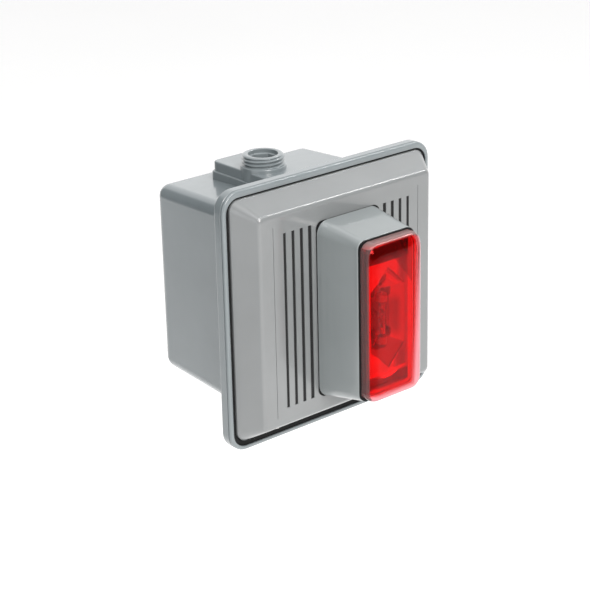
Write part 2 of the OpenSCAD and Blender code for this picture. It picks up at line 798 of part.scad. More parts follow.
module strobe_board() {
    color("#2f6b3a") difference() {
        translate([0, 0, lens_rise]) slab(30.4, 78.6, 1, board_y, board_y + board_t);
        for (p = post_at) rod_y(2.4, p[0], p[1] + lens_rise, board_y - 1, board_y + board_t + 1);
    }
}

module board_screws() {
    color(zinc) mirror([0, 1, 0]) for (p = post_at)
        screw_y(p[0], p[1] + lens_rise, -(board_y + board_t), 3.8, 1.3, 2, board_t + 4.5);
}

board_back_y = board_y + board_t;

can_d = 10.8;
can_len = 32;
can_at = [-8.2, -24];
transformer_size = [9, 9, 10];
transformer_at = [2, -28];
drum_d = 10;
drum_h = 9;
drum_at = [8, -4];

// Can with a rolled neck at each end
module storage_capacitor() {
    color("#22303f") translate([can_at[0], board_back_y + can_d / 2, can_at[1]]) {
        cylinder(d = can_d, h = can_len);
        translate([0, 0, -0.6]) cylinder(d = can_d - 1.4, h = can_len + 1.2);
    }
}

module trigger_transformer() {
    color("#c8a43a") translate([transformer_at[0], board_back_y, transformer_at[1]]) cube(transformer_size);
}

// Ferrite drum: two cheeks and a core
module converter_inductor() {
    x = drum_at[0];
    z = drum_at[1];
    cheek = 1.4;
    color("#2b2b2b") difference() {
        union() {
            rod_y(drum_d, x, z, board_back_y, board_back_y + cheek);
            rod_y(drum_d - 2.6, x, z, board_back_y + 1, board_back_y + drum_h - 1);
            rod_y(drum_d, x, z, board_back_y + drum_h - cheek, board_back_y + drum_h);
        }
        rod_y(3, x, z, board_back_y + 4, board_back_y + drum_h + 1);
    }
}

// Transistor, two film capacitors and a row of resistors
module board_components() {
    transistor = [10, 4.6, 4.4];
    film_cap = [7, 6, 2.2];
    resistor_d = 2.4;
    resistor_pitch = 5.4;
    color("#1f1f1f") translate([3, board_back_y, 11]) cube(transistor);
    color("#b5632c") for (z = [20, 25]) translate([4, board_back_y, z]) cube(film_cap);
    color("#c9b28a") for (i = [0 : 3]) translate([-10 + i * resistor_pitch, board_back_y + 1.3, 31])
        rotate([90, 0, 90]) cylinder(d = resistor_d, h = resistor_pitch - 1);
}

// ---------------------------------------------------------------- plug and its leads

module strobe_plug() {
    color("#e8e4d8") yoke_box(-7, 7, cover_in_y, socket_front_y - 0.3, socket_z - 2.2, socket_z + 2.2);
    color(brass) for (s = [-1, 1]) rod_y(1.5, s * socket_pin_x, socket_z, socket_front_y - 1, socket_front_y + 4);
}

module strobe_leads() {
    for (s = [-1, 1]) color(s > 0 ? "#7d2f2a" : "#2a2a2a")
        wire([[s * 2.4, cover_in_y + 3, socket_z + 2.2], [s * 2.2, cover_in_y + 2.8, lead_hole_z - 3],
            [s * 2, cover_in_y, lead_hole_z - 0.6], [s * 2, housing_y - 2, lead_hole_z],
            [s * 2, board_back_y + 4, lead_hole_z], [s * 2, board_back_y, lead_hole_z]], 1.4);
}

// ---------------------------------------------------------------- reflector and flash tube

rim_t = lens_gasket_t;
rim_w = 31;
rim_h = 77;
dish_y = -105.2;
dish_z = -0.5;
dish_front = [21.4, 52, 11];
dish_floor = [8, 31, 4];
tube_y = -110.4;
tube_z = -2.2;
tube_d = 4;
tube_len = 20;
sleeve_len = 3.6;
lead_gap = 13.4;

// Upright six-sided outline, pointed at the top and the bottom
module pointed(size) {
    w = size[0] / 2;
    h = size[1] / 2;
    polygon([[0, h], [-w, h - size[2]], [-w, size[2] - h], [0, -h], [w, size[2] - h], [w, h - size[2]]]);
}

module dish(inset, y_front) {
    shrink = [2 * inset, 2 * inset, inset];
    translate([0, 0, dish_z]) hull() {
        stand(y_front, y_front + 0.05) pointed(dish_front - shrink);
        stand(dish_y - inset - 0.05, dish_y - inset) pointed(dish_floor - shrink);
    }
}

// Bright plate behind the lens with a pointed six-sided dish in its middle
module reflector() {
    color("#dfe3e6") difference() {
        union() {
            translate([0, 0, lens_rise]) slab(rim_w, rim_h, 3, lens_base_y, lens_base_y + rim_t);
            dish(0, lens_base_y + 0.5);
        }
        dish(0.8, lens_base_y - 0.05);
        for (s = [-1, 1]) rod_y(1.4, 0, tube_z + s * lead_gap, tube_y, dish_y + 2);
        rod_y(1.2, 2, tube_z, tube_y, dish_y + 2);
    }
}

module flash_tube() {
    color("#e6ecef") translate([0, tube_y, tube_z - tube_len / 2]) cylinder(d = tube_d, h = tube_len);
}

// Silicone caps on the tube's two ends
module tube_sleeves() {
    color("#c8b9a8") for (s = [-1, 1]) translate([0, tube_y, tube_z + s * (tube_len / 2 + 0.7)])
        difference() {
            cylinder(d = tube_d + 1.4, h = sleeve_len, center = true);
            translate([0, 0, -s * (sleeve_len / 2 - 0.55)]) cylinder(d = tube_d, h = 1.11, center = true);
        }
}

module tube_leads() {
    for (s = [-1, 1]) color(steel)
        wire([[0, tube_y, tube_z + s * (tube_len / 2 + 2.5)], [0, tube_y + 0.5, tube_z + s * (lead_gap - 0.5)],
            [0, tube_y + 2.2, tube_z + s * lead_gap], [0, dish_y, tube_z + s * lead_gap],
            [0, board_y, tube_z + s * lead_gap]], 0.8);
}

// Thin wire coiled round the tube, its tail led to the board
module trigger_wire() {
    turn_r = tube_d / 2 + 0.3;
    turns = 3;
    coil = [for (i = [0 : 8 * turns]) [turn_r * sin(i * 45), tube_y - turn_r * cos(i * 45),
        tube_z - 1.5 + 3 * i / (8 * turns)]];
    tail = [[2.2, tube_y + 1, tube_z + 1.4], [2, tube_y + 2.6, tube_z], [2, dish_y, tube_z], [2, board_y, tube_z]];
    color(steel) wire(concat(coil, tail), 0.4, 1);
}

// ---------------------------------------------------------------- lens

lens_r = 5;
lens_front_r = 7;
lens_edge_r = 3;

// Lens outline drawn in at the front, so its edge is round
module lens_body(inset, y_back, y_front) {
    edge = lens_edge_r - inset / 2;
    translate([0, 0, lens_rise]) hull() {
        slab(lens_w - 2 * inset, lens_h - 2 * inset, lens_r - inset / 2, y_front + edge, y_back, $fn = 32);
        for (k = [0 : 3]) {
            a = k * 30;
            slab(lens_w - 2 * inset - 2 * edge * (1 - cos(a)), lens_h - 2 * inset - 2 * edge * (1 - cos(a)),
                lens_front_r - inset / 2 - edge * (1 - cos(a)) / 2, y_front + edge * (1 - sin(a)),
                y_front + edge * (1 - sin(a)) + 0.05, $fn = 32);
        }
    }
}

module lens_gasket() {
    color(black) difference() {
        translate([0, 0, lens_rise]) slab(housing_front_w - 0.6, housing_front_h - 0.6, front_r,
            lens_base_y, housing_front_y);
        translate([0, 0, lens_rise]) slab(rim_w, rim_h, 3, lens_base_y - 1, housing_front_y + 1);
    }
}

module strobe_lens() {
    color("#d81f1c") difference() {
        lens_body(0, lens_base_y, lens_front_y);
        lens_body(lens_wall, lens_base_y + 1, lens_front_y + lens_wall);
    }
}

back_box();
conduit_nipple();
nipple_locknut();
cover_gasket();
ground_screw();
base_plate();
base_plate_screws();
magnet_yoke();
yoke_screws();
coil_bobbin();
coil_winding();
magnet_core();
core_screw();
armature();
armature_pin();
striker_pin();
return_spring();
moving_contact();
contact_bracket();
contact_insulator();
bracket_screws();
tone_screw();
tone_locknut();
diaphragm_gasket();
diaphragm();
diaphragm_ring();
ring_screws();
noise_capacitor();
terminal_block();
terminal_screws();
coil_leads();
supply_leads();
strobe_socket();
front_cover();
dust_screens();
cover_screws();
screw_retainers();
housing_gasket();
strobe_housing();
housing_screws();
strobe_board();
board_screws();
storage_capacitor();
trigger_transformer();
converter_inductor();
board_components();
strobe_plug();
strobe_leads();
reflector();
flash_tube();
tube_sleeves();
tube_leads();
trigger_wire();
lens_gasket();
strobe_lens();
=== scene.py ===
"""Horn strobe: looks. The frame gives every place, size and moving body; this script adds the
studio, the materials and detailed meshes in place of the plain CAD shells that show."""

import json
import math

import bmesh
import bpy
from mathutils import Matrix, Vector


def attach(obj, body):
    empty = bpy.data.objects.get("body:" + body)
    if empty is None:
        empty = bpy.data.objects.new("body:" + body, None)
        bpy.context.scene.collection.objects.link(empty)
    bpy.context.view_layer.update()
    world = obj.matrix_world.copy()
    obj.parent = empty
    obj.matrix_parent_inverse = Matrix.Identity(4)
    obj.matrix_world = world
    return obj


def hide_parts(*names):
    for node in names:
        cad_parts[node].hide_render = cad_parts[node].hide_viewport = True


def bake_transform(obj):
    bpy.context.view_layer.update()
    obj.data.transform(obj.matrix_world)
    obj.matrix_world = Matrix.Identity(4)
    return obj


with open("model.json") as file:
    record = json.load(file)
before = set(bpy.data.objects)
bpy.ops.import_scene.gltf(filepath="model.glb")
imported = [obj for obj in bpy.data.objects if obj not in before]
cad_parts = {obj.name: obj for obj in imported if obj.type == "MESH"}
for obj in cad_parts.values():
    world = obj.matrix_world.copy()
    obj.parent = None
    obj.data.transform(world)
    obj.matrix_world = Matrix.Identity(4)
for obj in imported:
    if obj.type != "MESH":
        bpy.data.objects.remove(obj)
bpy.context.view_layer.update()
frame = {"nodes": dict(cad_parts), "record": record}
NODES = frame["nodes"]
MM = 0.001

# ---------------------------------------------------------------- sizes, in millimetres

FLANGE_HALF = 65.0
FLANGE_R = 9.5
LIP_Y = -76.0
FLANGE_BACK_Y = -69.0
RECESS_HALF = (62.9, 62.4)
RECESS_UP = -0.5
RECESS_Y = -72.6
BOX_HALF_W = 48.0
BOX_HALF_H = 48.35
BOX_RISE = 0.9
BOX_DRAFT = 2.7
BOX_R = 6.0
BOX_WALL = 3.0
COVER_HALF = (61.0, 60.5)
COVER_UP = 0.5
COVER_R = 5.5
COVER_BACK_Y = -73.8
BEVEL_IN = 7.4
FACE_Y = -88.2
COVER_WALL = 2.4
PAD_X = -12.4
PAD_W = 21.4
PAD_TOP = 59.2
PAD_BACK_Y = -14.5
NIPPLE_Y = -41.3
NIPPLE_R = 10.35
COLLAR_R = 11.2
COLLAR_TOP = 61.1
NIPPLE_TOP = 66.5
THREAD_PITCH = 1.814
SHANK_R = 9.75
NIPPLE_BORE = 7.3
WALL_HOLE_AT = 30.0
WALL_HOLE_R = 2.75
POST_AT = 39.0
SLOT_X = 23.7
SLOT_STEP = 5.1
SLOT_W = 2.1
SLOT_NARROWING = 0.15
SLOT_HALF_H = 44.0
SCORE_LINE_X = 45.8
LEAD_HOLE = (4.0, -33.0)
SCREW_X = 38.0
SCREW_Z = -56.2
POCKET_R = 3.2
POCKET_Y = -77.2
BOSS_BACK_Y = -74.6
HOUSING_BASE_Y = -88.7
HOUSING_FRONT_Y = -114.3
HOUSING_BASE = (20.2, 44.9)
HOUSING_FRONT = (17.3, 40.5)
LENS_BASE_Y = -115.3
LENS_FRONT_Y = -122.8
LENS_HALF = (16.8, 39.6)
LENS_RISE = 0.6
LENS_WALL = 1.8
LENS_BROW = 1.8
TUBE_Z = -2.2
ON_AXIS = 0.0001    # radius at which a turned shape closes on its axis


# ---------------------------------------------------------------- mesh tools

def finish_mesh(name, bm, sharp_deg=35.0):
    """Turns a bmesh in millimetres into an object in metres with smooth, angle-limited shading."""
    bmesh.ops.remove_doubles(bm, verts=bm.verts, dist=1e-5)
    bmesh.ops.recalc_face_normals(bm, faces=bm.faces)
    mesh = bpy.data.meshes.new(name)
    bm.to_mesh(mesh)
    bm.free()
    mesh.transform(Matrix.Scale(MM, 4))
    obj = bpy.data.objects.new(name, mesh)
    bpy.context.scene.collection.objects.link(obj)
    smooth(obj, sharp_deg)
    return obj


def smooth(obj, sharp_deg=35.0):
    mesh = obj.data
    mesh.polygons.foreach_set("use_smooth", [True] * len(mesh.polygons))
    mesh.set_sharp_from_angle(angle=math.radians(sharp_deg))


def weigh(obj):
    mod = obj.modifiers.new("weighted", "WEIGHTED_NORMAL")
    mod.keep_sharp = True
    return obj


def bake(obj):
    """Applies the object's modifiers."""
    graph = bpy.context.evaluated_depsgraph_get()
    mesh = bpy.data.meshes.new_from_object(obj.evaluated_get(graph))
    obj.modifiers.clear()
    obj.data = mesh
    return obj


def corner_ring(half_w, half_h, radius, y, cx=0.0, cz=0.0, steps=8):
    """Rounded rectangle in an XZ plane, always with the same number of points."""
    ring = []
    for quarter, (sx, sz) in enumerate(((1, 1), (-1, 1), (-1, -1), (1, -1))):
        for i in range(steps + 1):
            a = math.radians(90 * quarter + 90 * i / steps)
            ring.append((cx + sx * (half_w - radius) + radius * math.cos(a), y,
                         cz + sz * (half_h - radius) + radius * math.sin(a)))
    return ring


def flat_ring(half_x, half_y, radius, z, cx=0.0, cy=0.0, steps=8):
    """The same, in a level plane at height z."""
    return [(x, cy + y, z) for x, _, y in corner_ring(half_x, half_y, radius, 0.0, cx, 0.0, steps)]


def loft(rings, closed=False, caps=(True, True)):
    """Skins rings of equal point count, in order."""
    bm = bmesh.new()
    rows = [[bm.verts.new(p) for p in ring] for ring in rings]
    pairs = list(zip(rows, rows[1:]))
    if closed:
        pairs.append((rows[-1], rows[0]))
    n = len(rows[0])
    for a, b in pairs:
        for i in range(n):
            j = (i + 1) % n
            bm.faces.new((a[i], a[j], b[j], b[i]))
    if not closed:
        if caps[0]:
            bm.faces.new(rows[0])
        if caps[1]:
            bm.faces.new(rows[-1])
    return bm


def turned(profile, steps=96, axis="Z", centre=(0, 0, 0), closed=True):
    """Turns (radius, height) points round an axis through centre."""
    rings = []
    for r, h in profile:
        ring = []
        for i in range(steps):
            a = 2 * math.pi * i / steps
            u, v = r * math.cos(a), r * math.sin(a)
            p = {"Z": (u, v, h), "Y": (u, h, v), "X": (h, u, v)}[axis]
            ring.append(tuple(p[k] + centre[k] for k in range(3)))
        rings.append(ring)
    return loft(rings, closed=closed)


def box_mesh(lo, hi):
    bm = bmesh.new()
    bmesh.ops.create_cube(bm, size=1.0)
    for v in bm.verts:
        v.co = Vector(((lo[k] + hi[k]) / 2 + v.co[k] * (hi[k] - lo[k]) for k in range(3)))
    return bm


def merged(parts):
    """One bmesh from several."""
    out = bmesh.new()
    for bm in parts:
        mesh = bpy.data.meshes.new("scratch")
        bm.to_mesh(mesh)
        bm.free()
        out.from_mesh(mesh)
        bpy.data.meshes.remove(mesh)
    return out


def from_object(obj):
    """Takes an object's mesh back as a bmesh in millimetres and removes the object."""
    bm = bmesh.new()
    bm.from_mesh(obj.data)
    bmesh.ops.scale(bm, vec=(1 / MM,) * 3, verts=bm.verts)
    bpy.data.objects.remove(obj)
    return bm


def carve(obj, cutter_bm, operation="DIFFERENCE"):
    """Cuts or joins a closed shape, exactly."""
    cutter = finish_mesh("cutter", cutter_bm)
    mod = obj.modifiers.new("carve", "BOOLEAN")
    mod.operation = operation
    mod.solver = "EXACT"
    mod.object = cutter
    bake(obj)
    bpy.data.objects.remove(cutter)
    return obj


def soften(obj, width_mm, segments=2, angle_deg=50.0):
    """Rounds the sharp edges."""
    mod = obj.modifiers.new("edges", "BEVEL")
    mod.width = width_mm * MM
    mod.segments = segments
    mod.limit_method = "ANGLE"
    mod.angle_limit = math.radians(angle_deg)
    mod.harden_normals = False
    mod.use_clamp_overlap = True
    bake(obj)
    smooth(obj, 35.0)
    return obj


def arc(count, start_deg, end_deg):
    """Unit circle points from one angle to another, ends included."""
    return [(math.cos(math.radians(start_deg + (end_deg - start_deg) * i / count)),
             math.sin(math.radians(start_deg + (end_deg - start_deg) * i / count))) for i in range(count + 1)]


def place(obj, body, slot, material, *nodes):
    obj.data.materials.clear()
    obj.data.materials.append(material)
    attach(obj, body)
    if nodes:
        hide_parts(*nodes)
    return obj


# ---------------------------------------------------------------- materials

class Nodes:
    """A small builder for one material's nodes."""

    def __init__(self, name):
        self.mat = bpy.data.materials.new(name)
        self.mat.use_nodes = True
        self.tree = self.mat.node_tree
        self.shader = self.tree.nodes["Principled BSDF"]
        self.coords = self.tree.nodes.new("ShaderNodeTexCoord").outputs["Object"]

    def set(self, **values):
        for key, value in values.items():
            self.shader.inputs[key.replace("_", " ")].default_value = value
        return self

    def noise(self, scale, detail=4.0, rough=0.5, stretch=None):
        node = self.tree.nodes.new("ShaderNodeTexNoise")
        node.inputs["Scale"].default_value = scale
        node.inputs["Detail"].default_value = detail
        node.inputs["Roughness"].default_value = rough
        self.link(self.stretched(stretch), node.inputs["Vector"])
        return node.outputs["Fac"]

    def stretched(self, stretch):
        if stretch is None:
            return self.coords
        node = self.tree.nodes.new("ShaderNodeMapping")
        node.inputs["Scale"].default_value = stretch
        self.link(self.coords, node.inputs["Vector"])
        return node.outputs["Vector"]

    def link(self, a, b):
        self.tree.links.new(a, b)

    def ramp(self, fac, low, high, start=0.3, end=0.7):
        node = self.tree.nodes.new("ShaderNodeValToRGB")
        node.color_ramp.elements[0].position = start
        node.color_ramp.elements[0].color = (*low, 1)
        node.color_ramp.elements[1].position = end
        node.color_ramp.elements[1].color = (*high, 1)
        self.link(fac, node.inputs["Fac"])
        return node.outputs["Color"]

    def span(self, fac, low, high):
        node = self.tree.nodes.new("ShaderNodeMapRange")
        node.inputs["To Min"].default_value = low
        node.inputs["To Max"].default_value = high
        self.link(fac, node.inputs["Value"])
        return node.outputs["Result"]

    def math(self, operation, *values):
        node = self.tree.nodes.new("ShaderNodeMath")
        node.operation = operation
        for socket, value in zip(node.inputs, values):
            if isinstance(value, bpy.types.NodeSocket):
                self.link(value, socket)
            else:
                socket.default_value = value
        return node.outputs["Value"]

    def ease(self, value, low, high):
        """0 below low, 1 above high, smooth between."""
        node = self.tree.nodes.new("ShaderNodeMapRange")
        node.interpolation_type = "SMOOTHSTEP"
        node.inputs["From Min"].default_value = low
        node.inputs["From Max"].default_value = high
        self.link(value, node.inputs["Value"])
        return node.outputs["Result"]

    def ease_mm(self, value, low, high):
        """The same, for an object coordinate between two places in millimetres."""
        return self.ease(value, low * MM, high * MM)

    def place(self):
        """The object's own X, Y and Z, in metres."""
        split = self.tree.nodes.new("ShaderNodeSeparateXYZ")
        self.link(self.coords, split.inputs["Vector"])
        return [split.outputs[name] for name in "XYZ"]

    def times(self, a, b):
        return self.math("MULTIPLY", a, b)

    def either(self, a, b):
        return self.math("MAXIMUM", a, b)

    def mix(self, fac, a, b):
        node = self.tree.nodes.new("ShaderNodeMixRGB")
        self.link(fac, node.inputs["Fac"])
        for socket, colour in ((node.inputs["Color1"], a), (node.inputs["Color2"], b)):
            if isinstance(colour, bpy.types.NodeSocket):
                self.link(colour, socket)
            else:
                socket.default_value = (*colour, 1)
        return node.outputs["Color"]

    def bump(self, height, strength, distance_mm):
        node = self.tree.nodes.new("ShaderNodeBump")
        node.inputs["Strength"].default_value = strength
        node.inputs["Distance"].default_value = distance_mm * MM
        self.link(height, node.inputs["Height"])
        if self.shader.inputs["Normal"].is_linked:
            self.link(self.shader.inputs["Normal"].links[0].from_socket, node.inputs["Normal"])
        self.link(node.outputs["Normal"], self.shader.inputs["Normal"])
        return self


def srgb(*rgb):
    """Linear colour from 8-bit screen values."""
    return tuple(((c / 255) / 12.92 if c / 255 <= 0.04045 else ((c / 255 + 0.055) / 1.055) ** 2.4) for c in rgb)


def paint_material(name, base, spread=3):
    """Sprayed grey enamel over a casting: even satin gloss, faint orange peel, slight tone drift."""
    m = Nodes(name)
    low = srgb(*[c - spread for c in base])
    high = srgb(*[c + spread for c in base])
    m.link(m.ramp(m.noise(28, 3.0), low, high), m.shader.inputs["Base Color"])
    m.link(m.span(m.noise(160, 3.0), 0.30, 0.40), m.shader.inputs["Roughness"])
    m.set(Specular_IOR_Level=0.5, Coat_Weight=1.0, Coat_Roughness=0.1)
    m.bump(m.noise(900, 2.0), 0.10, 0.05)
    m.bump(m.noise(3200, 2.0), 0.08, 0.01)
    return m.mat


def rubber_material():
    m = Nodes("black rubber")
    m.link(m.ramp(m.noise(240, 4.0), srgb(9, 9, 10), srgb(18, 19, 20)), m.shader.inputs["Base Color"])
    m.set(Specular_IOR_Level=0.25)
    m.link(m.span(m.noise(700), 0.6, 0.8), m.shader.inputs["Roughness"])
    m.bump(m.noise(2600, 3.0), 0.25, 0.03)
    return m.mat


def lens_material():
    """Clear red polycarbonate, with painted shade and reflection: a dark grey left wall for shade, a grey-pink
    top wall for a reflected sheen, and a light pink band at the right and lower edges for light reflected
    inside the walls.
    """
    body_low, body_high = (0.90, 0.040, 0.042), (0.93, 0.052, 0.054)
    # Painted shade and reflection: dark grey on the left wall, a grey-pink sheen on the top wall, a light pink
    # band at the right and lower edges
    left_wall_painted_shade, top_wall_painted_sheen, painted_pink_band = (0.15, 0.11, 0.11), (0.36, 0.25, 0.245), (0.92, 0.38, 0.43)
    painted_band_lean, painted_band_opacity, painted_wall_opacity = -0.06, 0.6, 0.5
    m = Nodes("red polycarbonate")
    x, y, z = m.place()
    behind = m.ease_mm(y, LENS_FRONT_Y + 1.9, LENS_FRONT_Y + 2.6)
    left = m.times(m.ease_mm(m.times(x, -1.0), 14.6, 15.0), behind)
    top = m.times(m.ease_mm(z, 37.8, 38.2), behind)
    leaning_x = m.math("MULTIPLY_ADD", z, painted_band_lean, x)
    edge = m.either(m.ease_mm(leaning_x, 9.2, 14.0), m.ease_mm(z, -33.0, -36.5))
    painted_pink_band_mask = m.times(edge, m.ease_mm(y, LENS_FRONT_Y + 4.2, LENS_FRONT_Y + 2.8))
    body = m.mix(painted_pink_band_mask, m.ramp(m.noise(14, 2.0), body_low, body_high), painted_pink_band)
    m.link(m.mix(top, m.mix(left, body, left_wall_painted_shade), top_wall_painted_sheen), m.shader.inputs["Base Color"])
    m.link(m.span(m.noise(300), 0.015, 0.035), m.shader.inputs["Roughness"])
    # Where shade, sheen or the pink band is painted, the lens is made less clear so that the painted colour
    # shows
    painted_opacity = m.either(m.times(painted_pink_band_mask, painted_band_opacity), m.times(m.either(left, top), painted_wall_opacity))
    m.link(m.math("SUBTRACT", 1.0, painted_opacity), m.shader.inputs["Transmission Weight"])
    m.set(IOR=1.45, Specular_Tint=(1.0, 0.12, 0.12, 1.0))
    m.bump(m.noise(70, 1.0), 0.06, 0.06)
    return m.mat


def glass_material():
    m = Nodes("quartz glass")
    m.link(m.ramp(m.noise(60, 2.0), (0.93, 0.95, 0.95), (0.98, 0.99, 0.99)), m.shader.inputs["Base Color"])
    m.link(m.span(m.noise(500), 0.01, 0.04), m.shader.inputs["Roughness"])
    m.set(IOR=1.46, Transmission_Weight=1.0)
    return m.mat


def metal_material(name, low, high, rough=(0.25, 0.4), grain=None, grain_scale=500, bump=0.12):
    """Bare metal with a brushed or cast grain."""
    m = Nodes(name)
    m.set(Metallic=1.0)
    m.link(m.ramp(m.noise(grain_scale * 0.3, 4.0, stretch=grain), low, high), m.shader.inputs["Base Color"])
    m.link(m.span(m.noise(grain_scale, 3.0, stretch=grain), rough[0], rough[1]), m.shader.inputs["Roughness"])
    m.bump(m.noise(grain_scale * 2, 3.0, stretch=grain), bump, 0.02)
    return m.mat


def reflector_material():
    """Vacuum metallised plate, darkened with painted shade inside the dish round the tube and over the upper
    end, standing for dark reflections.
    """
    bright, brighter, painted_shade_tone = (0.74, 0.74, 0.75), (0.82, 0.82, 0.82), (0.44, 0.44, 0.45)
    upper_slope = 1.3
    m = Nodes("vacuum metallised")
    x, y, z = m.place()
    from_tube = m.math("ABSOLUTE", m.math("SUBTRACT", z, TUBE_Z * MM))
    # Painted shade: darker plating deep in the dish near the tube, on the upper end facet and at the upper
    # right
    dish_painted_shade = m.times(m.ease_mm(y, LENS_BASE_Y + 0.5, LENS_BASE_Y + 3.3), m.ease_mm(from_tube, 12.0, 6.0))
    upper_facet_painted_shade = m.times(m.ease_mm(y, LENS_BASE_Y + 0.5, LENS_BASE_Y + 1.5), m.ease_mm(z, 25.8, 26.6))
    upper_right_painted_shade = m.ease_mm(m.math("MULTIPLY_ADD", x, upper_slope, z), 32.5, 34.5)
    painted_shade = m.either(dish_painted_shade, m.either(upper_facet_painted_shade, upper_right_painted_shade))
    plate = m.ramp(m.noise(150, 4.0), bright, brighter)
    m.link(m.mix(painted_shade, plate, painted_shade_tone), m.shader.inputs["Base Color"])
    m.link(m.span(m.noise(500), 0.07, 0.14), m.shader.inputs["Roughness"])
    m.set(Metallic=0.9)
    m.bump(m.noise(1000), 0.03, 0.02)
    return m.mat


def plastic_material(name, low, high, rough=(0.35, 0.5), texture=1800, bump=0.12):
    """Moulded plastic with a fine spark texture."""
    m = Nodes(name)
    m.link(m.ramp(m.noise(120, 3.0), low, high), m.shader.inputs["Base Color"])
    m.link(m.span(m.noise(600), rough[0], rough[1]), m.shader.inputs["Roughness"])
    m.bump(m.noise(texture, 2.0), bump, 0.02)
    return m.mat


def screen_material():
    """Woven dust screen: black threads about half a millimetre apart."""
    m = Nodes("dust screen")
    wave_x, wave_z = (m.tree.nodes.new("ShaderNodeTexWave") for _ in range(2))
    for node, direction in ((wave_x, "X"), (wave_z, "Z")):
        node.bands_direction = direction
        node.inputs["Scale"].default_value = 320
        m.link(m.coords, node.inputs["Vector"])
    threads = m.either(wave_x.outputs["Fac"], wave_z.outputs["Fac"])
    m.link(m.ramp(threads, srgb(3, 3, 4), srgb(14, 15, 16)), m.shader.inputs["Base Color"])
    m.set(Roughness=0.6)
    m.bump(threads, 0.8, 0.15)
    return m.mat


M = {
    "grey_paint": paint_material("grey enamel", (125, 132, 134)),
    "box_paint": paint_material("grey enamel on the box", (118, 126, 129)),
    "cover_paint": paint_material("grey enamel on the cover", (122, 125, 126)),
    "housing_paint": paint_material("grey enamel on the housing", (129, 135, 136)),
    "black_rubber": rubber_material(),
    "red_lens": lens_material(),
    "clear_glass": glass_material(),
    "bright_reflector": reflector_material(),
    "zinc_steel": metal_material("zinc plate", srgb(176, 175, 165), srgb(206, 205, 196), (0.28, 0.42)),
    "plain_steel": metal_material("bright steel", srgb(160, 162, 165), srgb(196, 198, 200), (0.2, 0.34),
                                  grain=(8, 1, 1)),
    "brass": metal_material("brass", srgb(186, 150, 84), srgb(214, 180, 112), (0.2, 0.36)),
    "green_screw": metal_material("green dyed zinc", srgb(38, 104, 58), srgb(60, 134, 78), (0.3, 0.45)),
    "black_plastic": plastic_material("black moulded", srgb(24, 25, 27), srgb(36, 37, 40)),
    "brown_board": plastic_material("phenolic sheet", srgb(104, 66, 38), srgb(132, 88, 54)),
    "copper_winding": metal_material("enamelled copper", srgb(150, 78, 40), srgb(190, 104, 58), (0.25, 0.4)),
    "fibre": plastic_material("pressed fibre", srgb(44, 44, 42), srgb(66, 66, 62), (0.8, 0.95), 700, 0.5),
    "red_component": plastic_material("dipped red", srgb(140, 52, 32), srgb(170, 70, 44),
                                      (0.2, 0.3), 400, 0.06),
    "ivory_plastic": plastic_material("ivory nylon", srgb(222, 216, 200), srgb(236, 231, 218)),
    "green_board": plastic_material("solder resist", srgb(20, 78, 42), srgb(30, 96, 54),
                                    (0.25, 0.35), 900, 0.2),
    "blue_sleeve": plastic_material("shrunk sleeve", srgb(22, 34, 62), srgb(32, 46, 80),
                                    (0.15, 0.25), 500, 0.05),
    "yellow_tape": plastic_material("wound tape", srgb(196, 160, 50), srgb(220, 186, 74),
                                    (0.2, 0.32), 500, 0.1),
    "ferrite": plastic_material("ferrite", srgb(34, 34, 36), srgb(52, 52, 54), (0.5, 0.65), 900, 0.3),
    "lead_insulation": plastic_material("lead insulation", srgb(112, 24, 22), srgb(140, 36, 32), (0.3, 0.4)),
    "silicone": plastic_material("silicone", srgb(196, 180, 160), srgb(216, 202, 184), (0.35, 0.5), 900, 0.1),
}

SLOT_OF = {s["node"]: s["material_slot"] for s in frame["record"]["subparts"]}
for node_name, node_obj in NODES.items():
    node_obj.data.materials.clear()
    node_obj.data.materials.append(M[SLOT_OF[node_name]])


# ---------------------------------------------------------------- studio and camera

